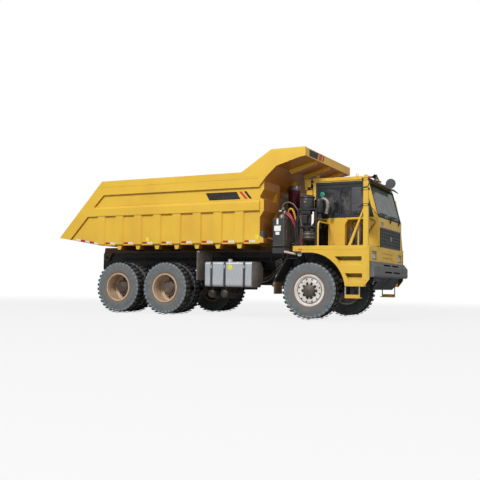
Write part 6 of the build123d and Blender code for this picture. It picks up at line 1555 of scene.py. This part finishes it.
# Hoist: four nested tubes, the barrel in dark red, the stages ground bright with wiper glands on
# top, and a forged eye.
HOIST_RED = enamel("hoist_red", tone(112, 26, 36), tone(88, 26, 32), 0.36, 0.5, 1.5, 2.4)
GROUND_STEEL = Finish("ground_steel", 0.7)
bright = GROUND_STEEL.cloud(12, 3).band(0.3, 0.7)
GROUND_STEEL.finished(GROUND_STEEL.mix(bright, tone(150, 150, 154), tone(104, 96, 94)), bright * 0.15 + 0.25)
dress(HOIST_RED, "hoist_barrel")
dress(GROUND_STEEL, "hoist_stage_1", "hoist_stage_2", "hoist_rod")
HOIST_X = 1.930


def gland(outer, inner, top, height, sides=56):
    """A gland ring round a tube's upper end, with its lip turned in."""
    return turned([(inner, top - height), (outer, top - height + 0.004), (outer, top - 0.006),
                   (outer - 0.005, top), (inner, top), (inner, top - height)], (HOIST_X, 0, 0), (0, 0, 1),
                  sides)


settle(joined([gland(0.166, 0.1602, 3.268, 0.075), gland(0.166, 0.1602, 3.150, 0.02),
               gland(0.166, 0.1602, 1.70, 0.05)]), "barrel_glands", "hoist_barrel", "red_paint", HOIST_RED)
settle(gland(0.1530, 0.1345, 3.385, 0.116), "barrel_gland_ring", "hoist_barrel", "steel", GROUND_STEEL)
settle(gland(0.1300, 0.1066, 3.318, 0.026), "stage_1_gland", "hoist_stage_1", "steel", GROUND_STEEL)
settle(gland(0.1045, 0.0812, 3.334, 0.026), "stage_2_gland", "hoist_stage_2", "steel", GROUND_STEEL)
settle(turned([(AXIS, 0.080), (0.016, 0.080), (0.020, 0.074), (0.020, -0.074), (0.016, -0.080), (AXIS, -0.080)],
              (HOIST_X, 0, 3.385), (0, 1, 0), 24), "eye_pin", "bed", "steel", GROUND_STEEL)
trunnion_caps = [turned([(AXIS, 0.014), (0.052, 0.012), (0.058, 0.0), (AXIS, 0.0)],
                        (HOIST_X, side * 0.302, 1.5), (0, side, 0), 28) for side in (-1, 1)]
settle(joined(trunnion_caps), "trunnion_caps", "chassis", "iron", CASTING)


# Studio: a plain pale floor that keeps the shadow, a large soft lamp from the sunny side, a weak
# fill from ahead, and an even sky. The camera sees the background as white.
bpy.ops.object.select_all(action="DESELECT")
bpy.ops.mesh.primitive_plane_add(size=220, location=(0, 0, 0))
floor = bpy.context.object
floor.name = "floor"
ground = Finish("floor_pale")
ground.surface.inputs["Base Color"].default_value = (0.34, 0.34, 0.33, 1)
ground.surface.inputs["Roughness"].default_value = 0.95
glow = ground.node("ShaderNodeEmission", None, {"Color": (1, 1, 1, 1), "Strength": 1.0})
seen_by_camera = ground.node("ShaderNodeLightPath", output="Is Camera Ray")
far_off = ground.node("ShaderNodeVectorMath", {"operation": "LENGTH"}, {0: ground.place}, "Value").band(9, 26)
lifted = ground.node("ShaderNodeMixShader", None, {0: seen_by_camera * (far_off * 0.16 + 0.84),
                                                   1: Value(ground, ground.surface.outputs[0]), 2: glow})
floor.data.materials.append(ground.material)
ground.tree.links.new(lifted.socket, ground.tree.nodes["Material Output"].inputs["Surface"])

world = bpy.context.scene.world or bpy.data.worlds.new("world")
bpy.context.scene.world = world
world.use_nodes = True
sky_tree = world.node_tree
sky_tree.nodes.clear()
sky_path = sky_tree.nodes.new("ShaderNodeLightPath")
sky = sky_tree.nodes.new("ShaderNodeBackground")
sky.inputs["Color"].default_value = (0.93, 0.96, 1.0, 1)
sky.inputs["Strength"].default_value = 0.42
backdrop = sky_tree.nodes.new("ShaderNodeBackground")
backdrop.inputs["Color"].default_value = (1, 1, 1, 1)
backdrop.inputs["Strength"].default_value = 1.0
straight_on = sky_tree.nodes.new("ShaderNodeMath")
straight_on.operation = "MAXIMUM"
sky_mix = sky_tree.nodes.new("ShaderNodeMixShader")
sky_out = sky_tree.nodes.new("ShaderNodeOutputWorld")
sky_tree.links.new(sky_path.outputs["Is Camera Ray"], straight_on.inputs[0])
sky_tree.links.new(sky_path.outputs["Is Transmission Ray"], straight_on.inputs[1])
sky_tree.links.new(straight_on.outputs[0], sky_mix.inputs[0])
sky_tree.links.new(sky.outputs[0], sky_mix.inputs[1])
sky_tree.links.new(backdrop.outputs[0], sky_mix.inputs[2])
sky_tree.links.new(sky_mix.outputs[0], sky_out.inputs["Surface"])

for name, place, size, power in (("sun_side", (0.5, -20, 17), 5, 4300), ("front_fill", (16, -5, 8), 9, 520)):
    lamp = bpy.data.lights.new(name, "AREA")
    lamp.energy = power
    lamp.size = size
    stand = bpy.data.objects.new(name, lamp)
    bpy.context.scene.collection.objects.link(stand)
    stand.location = place
    stand.rotation_euler = (Vector((0, 0, 1.8)) - stand.location).to_track_quat("-Z", "Y").to_euler()

bpy.context.scene.view_settings.view_transform = "Standard"
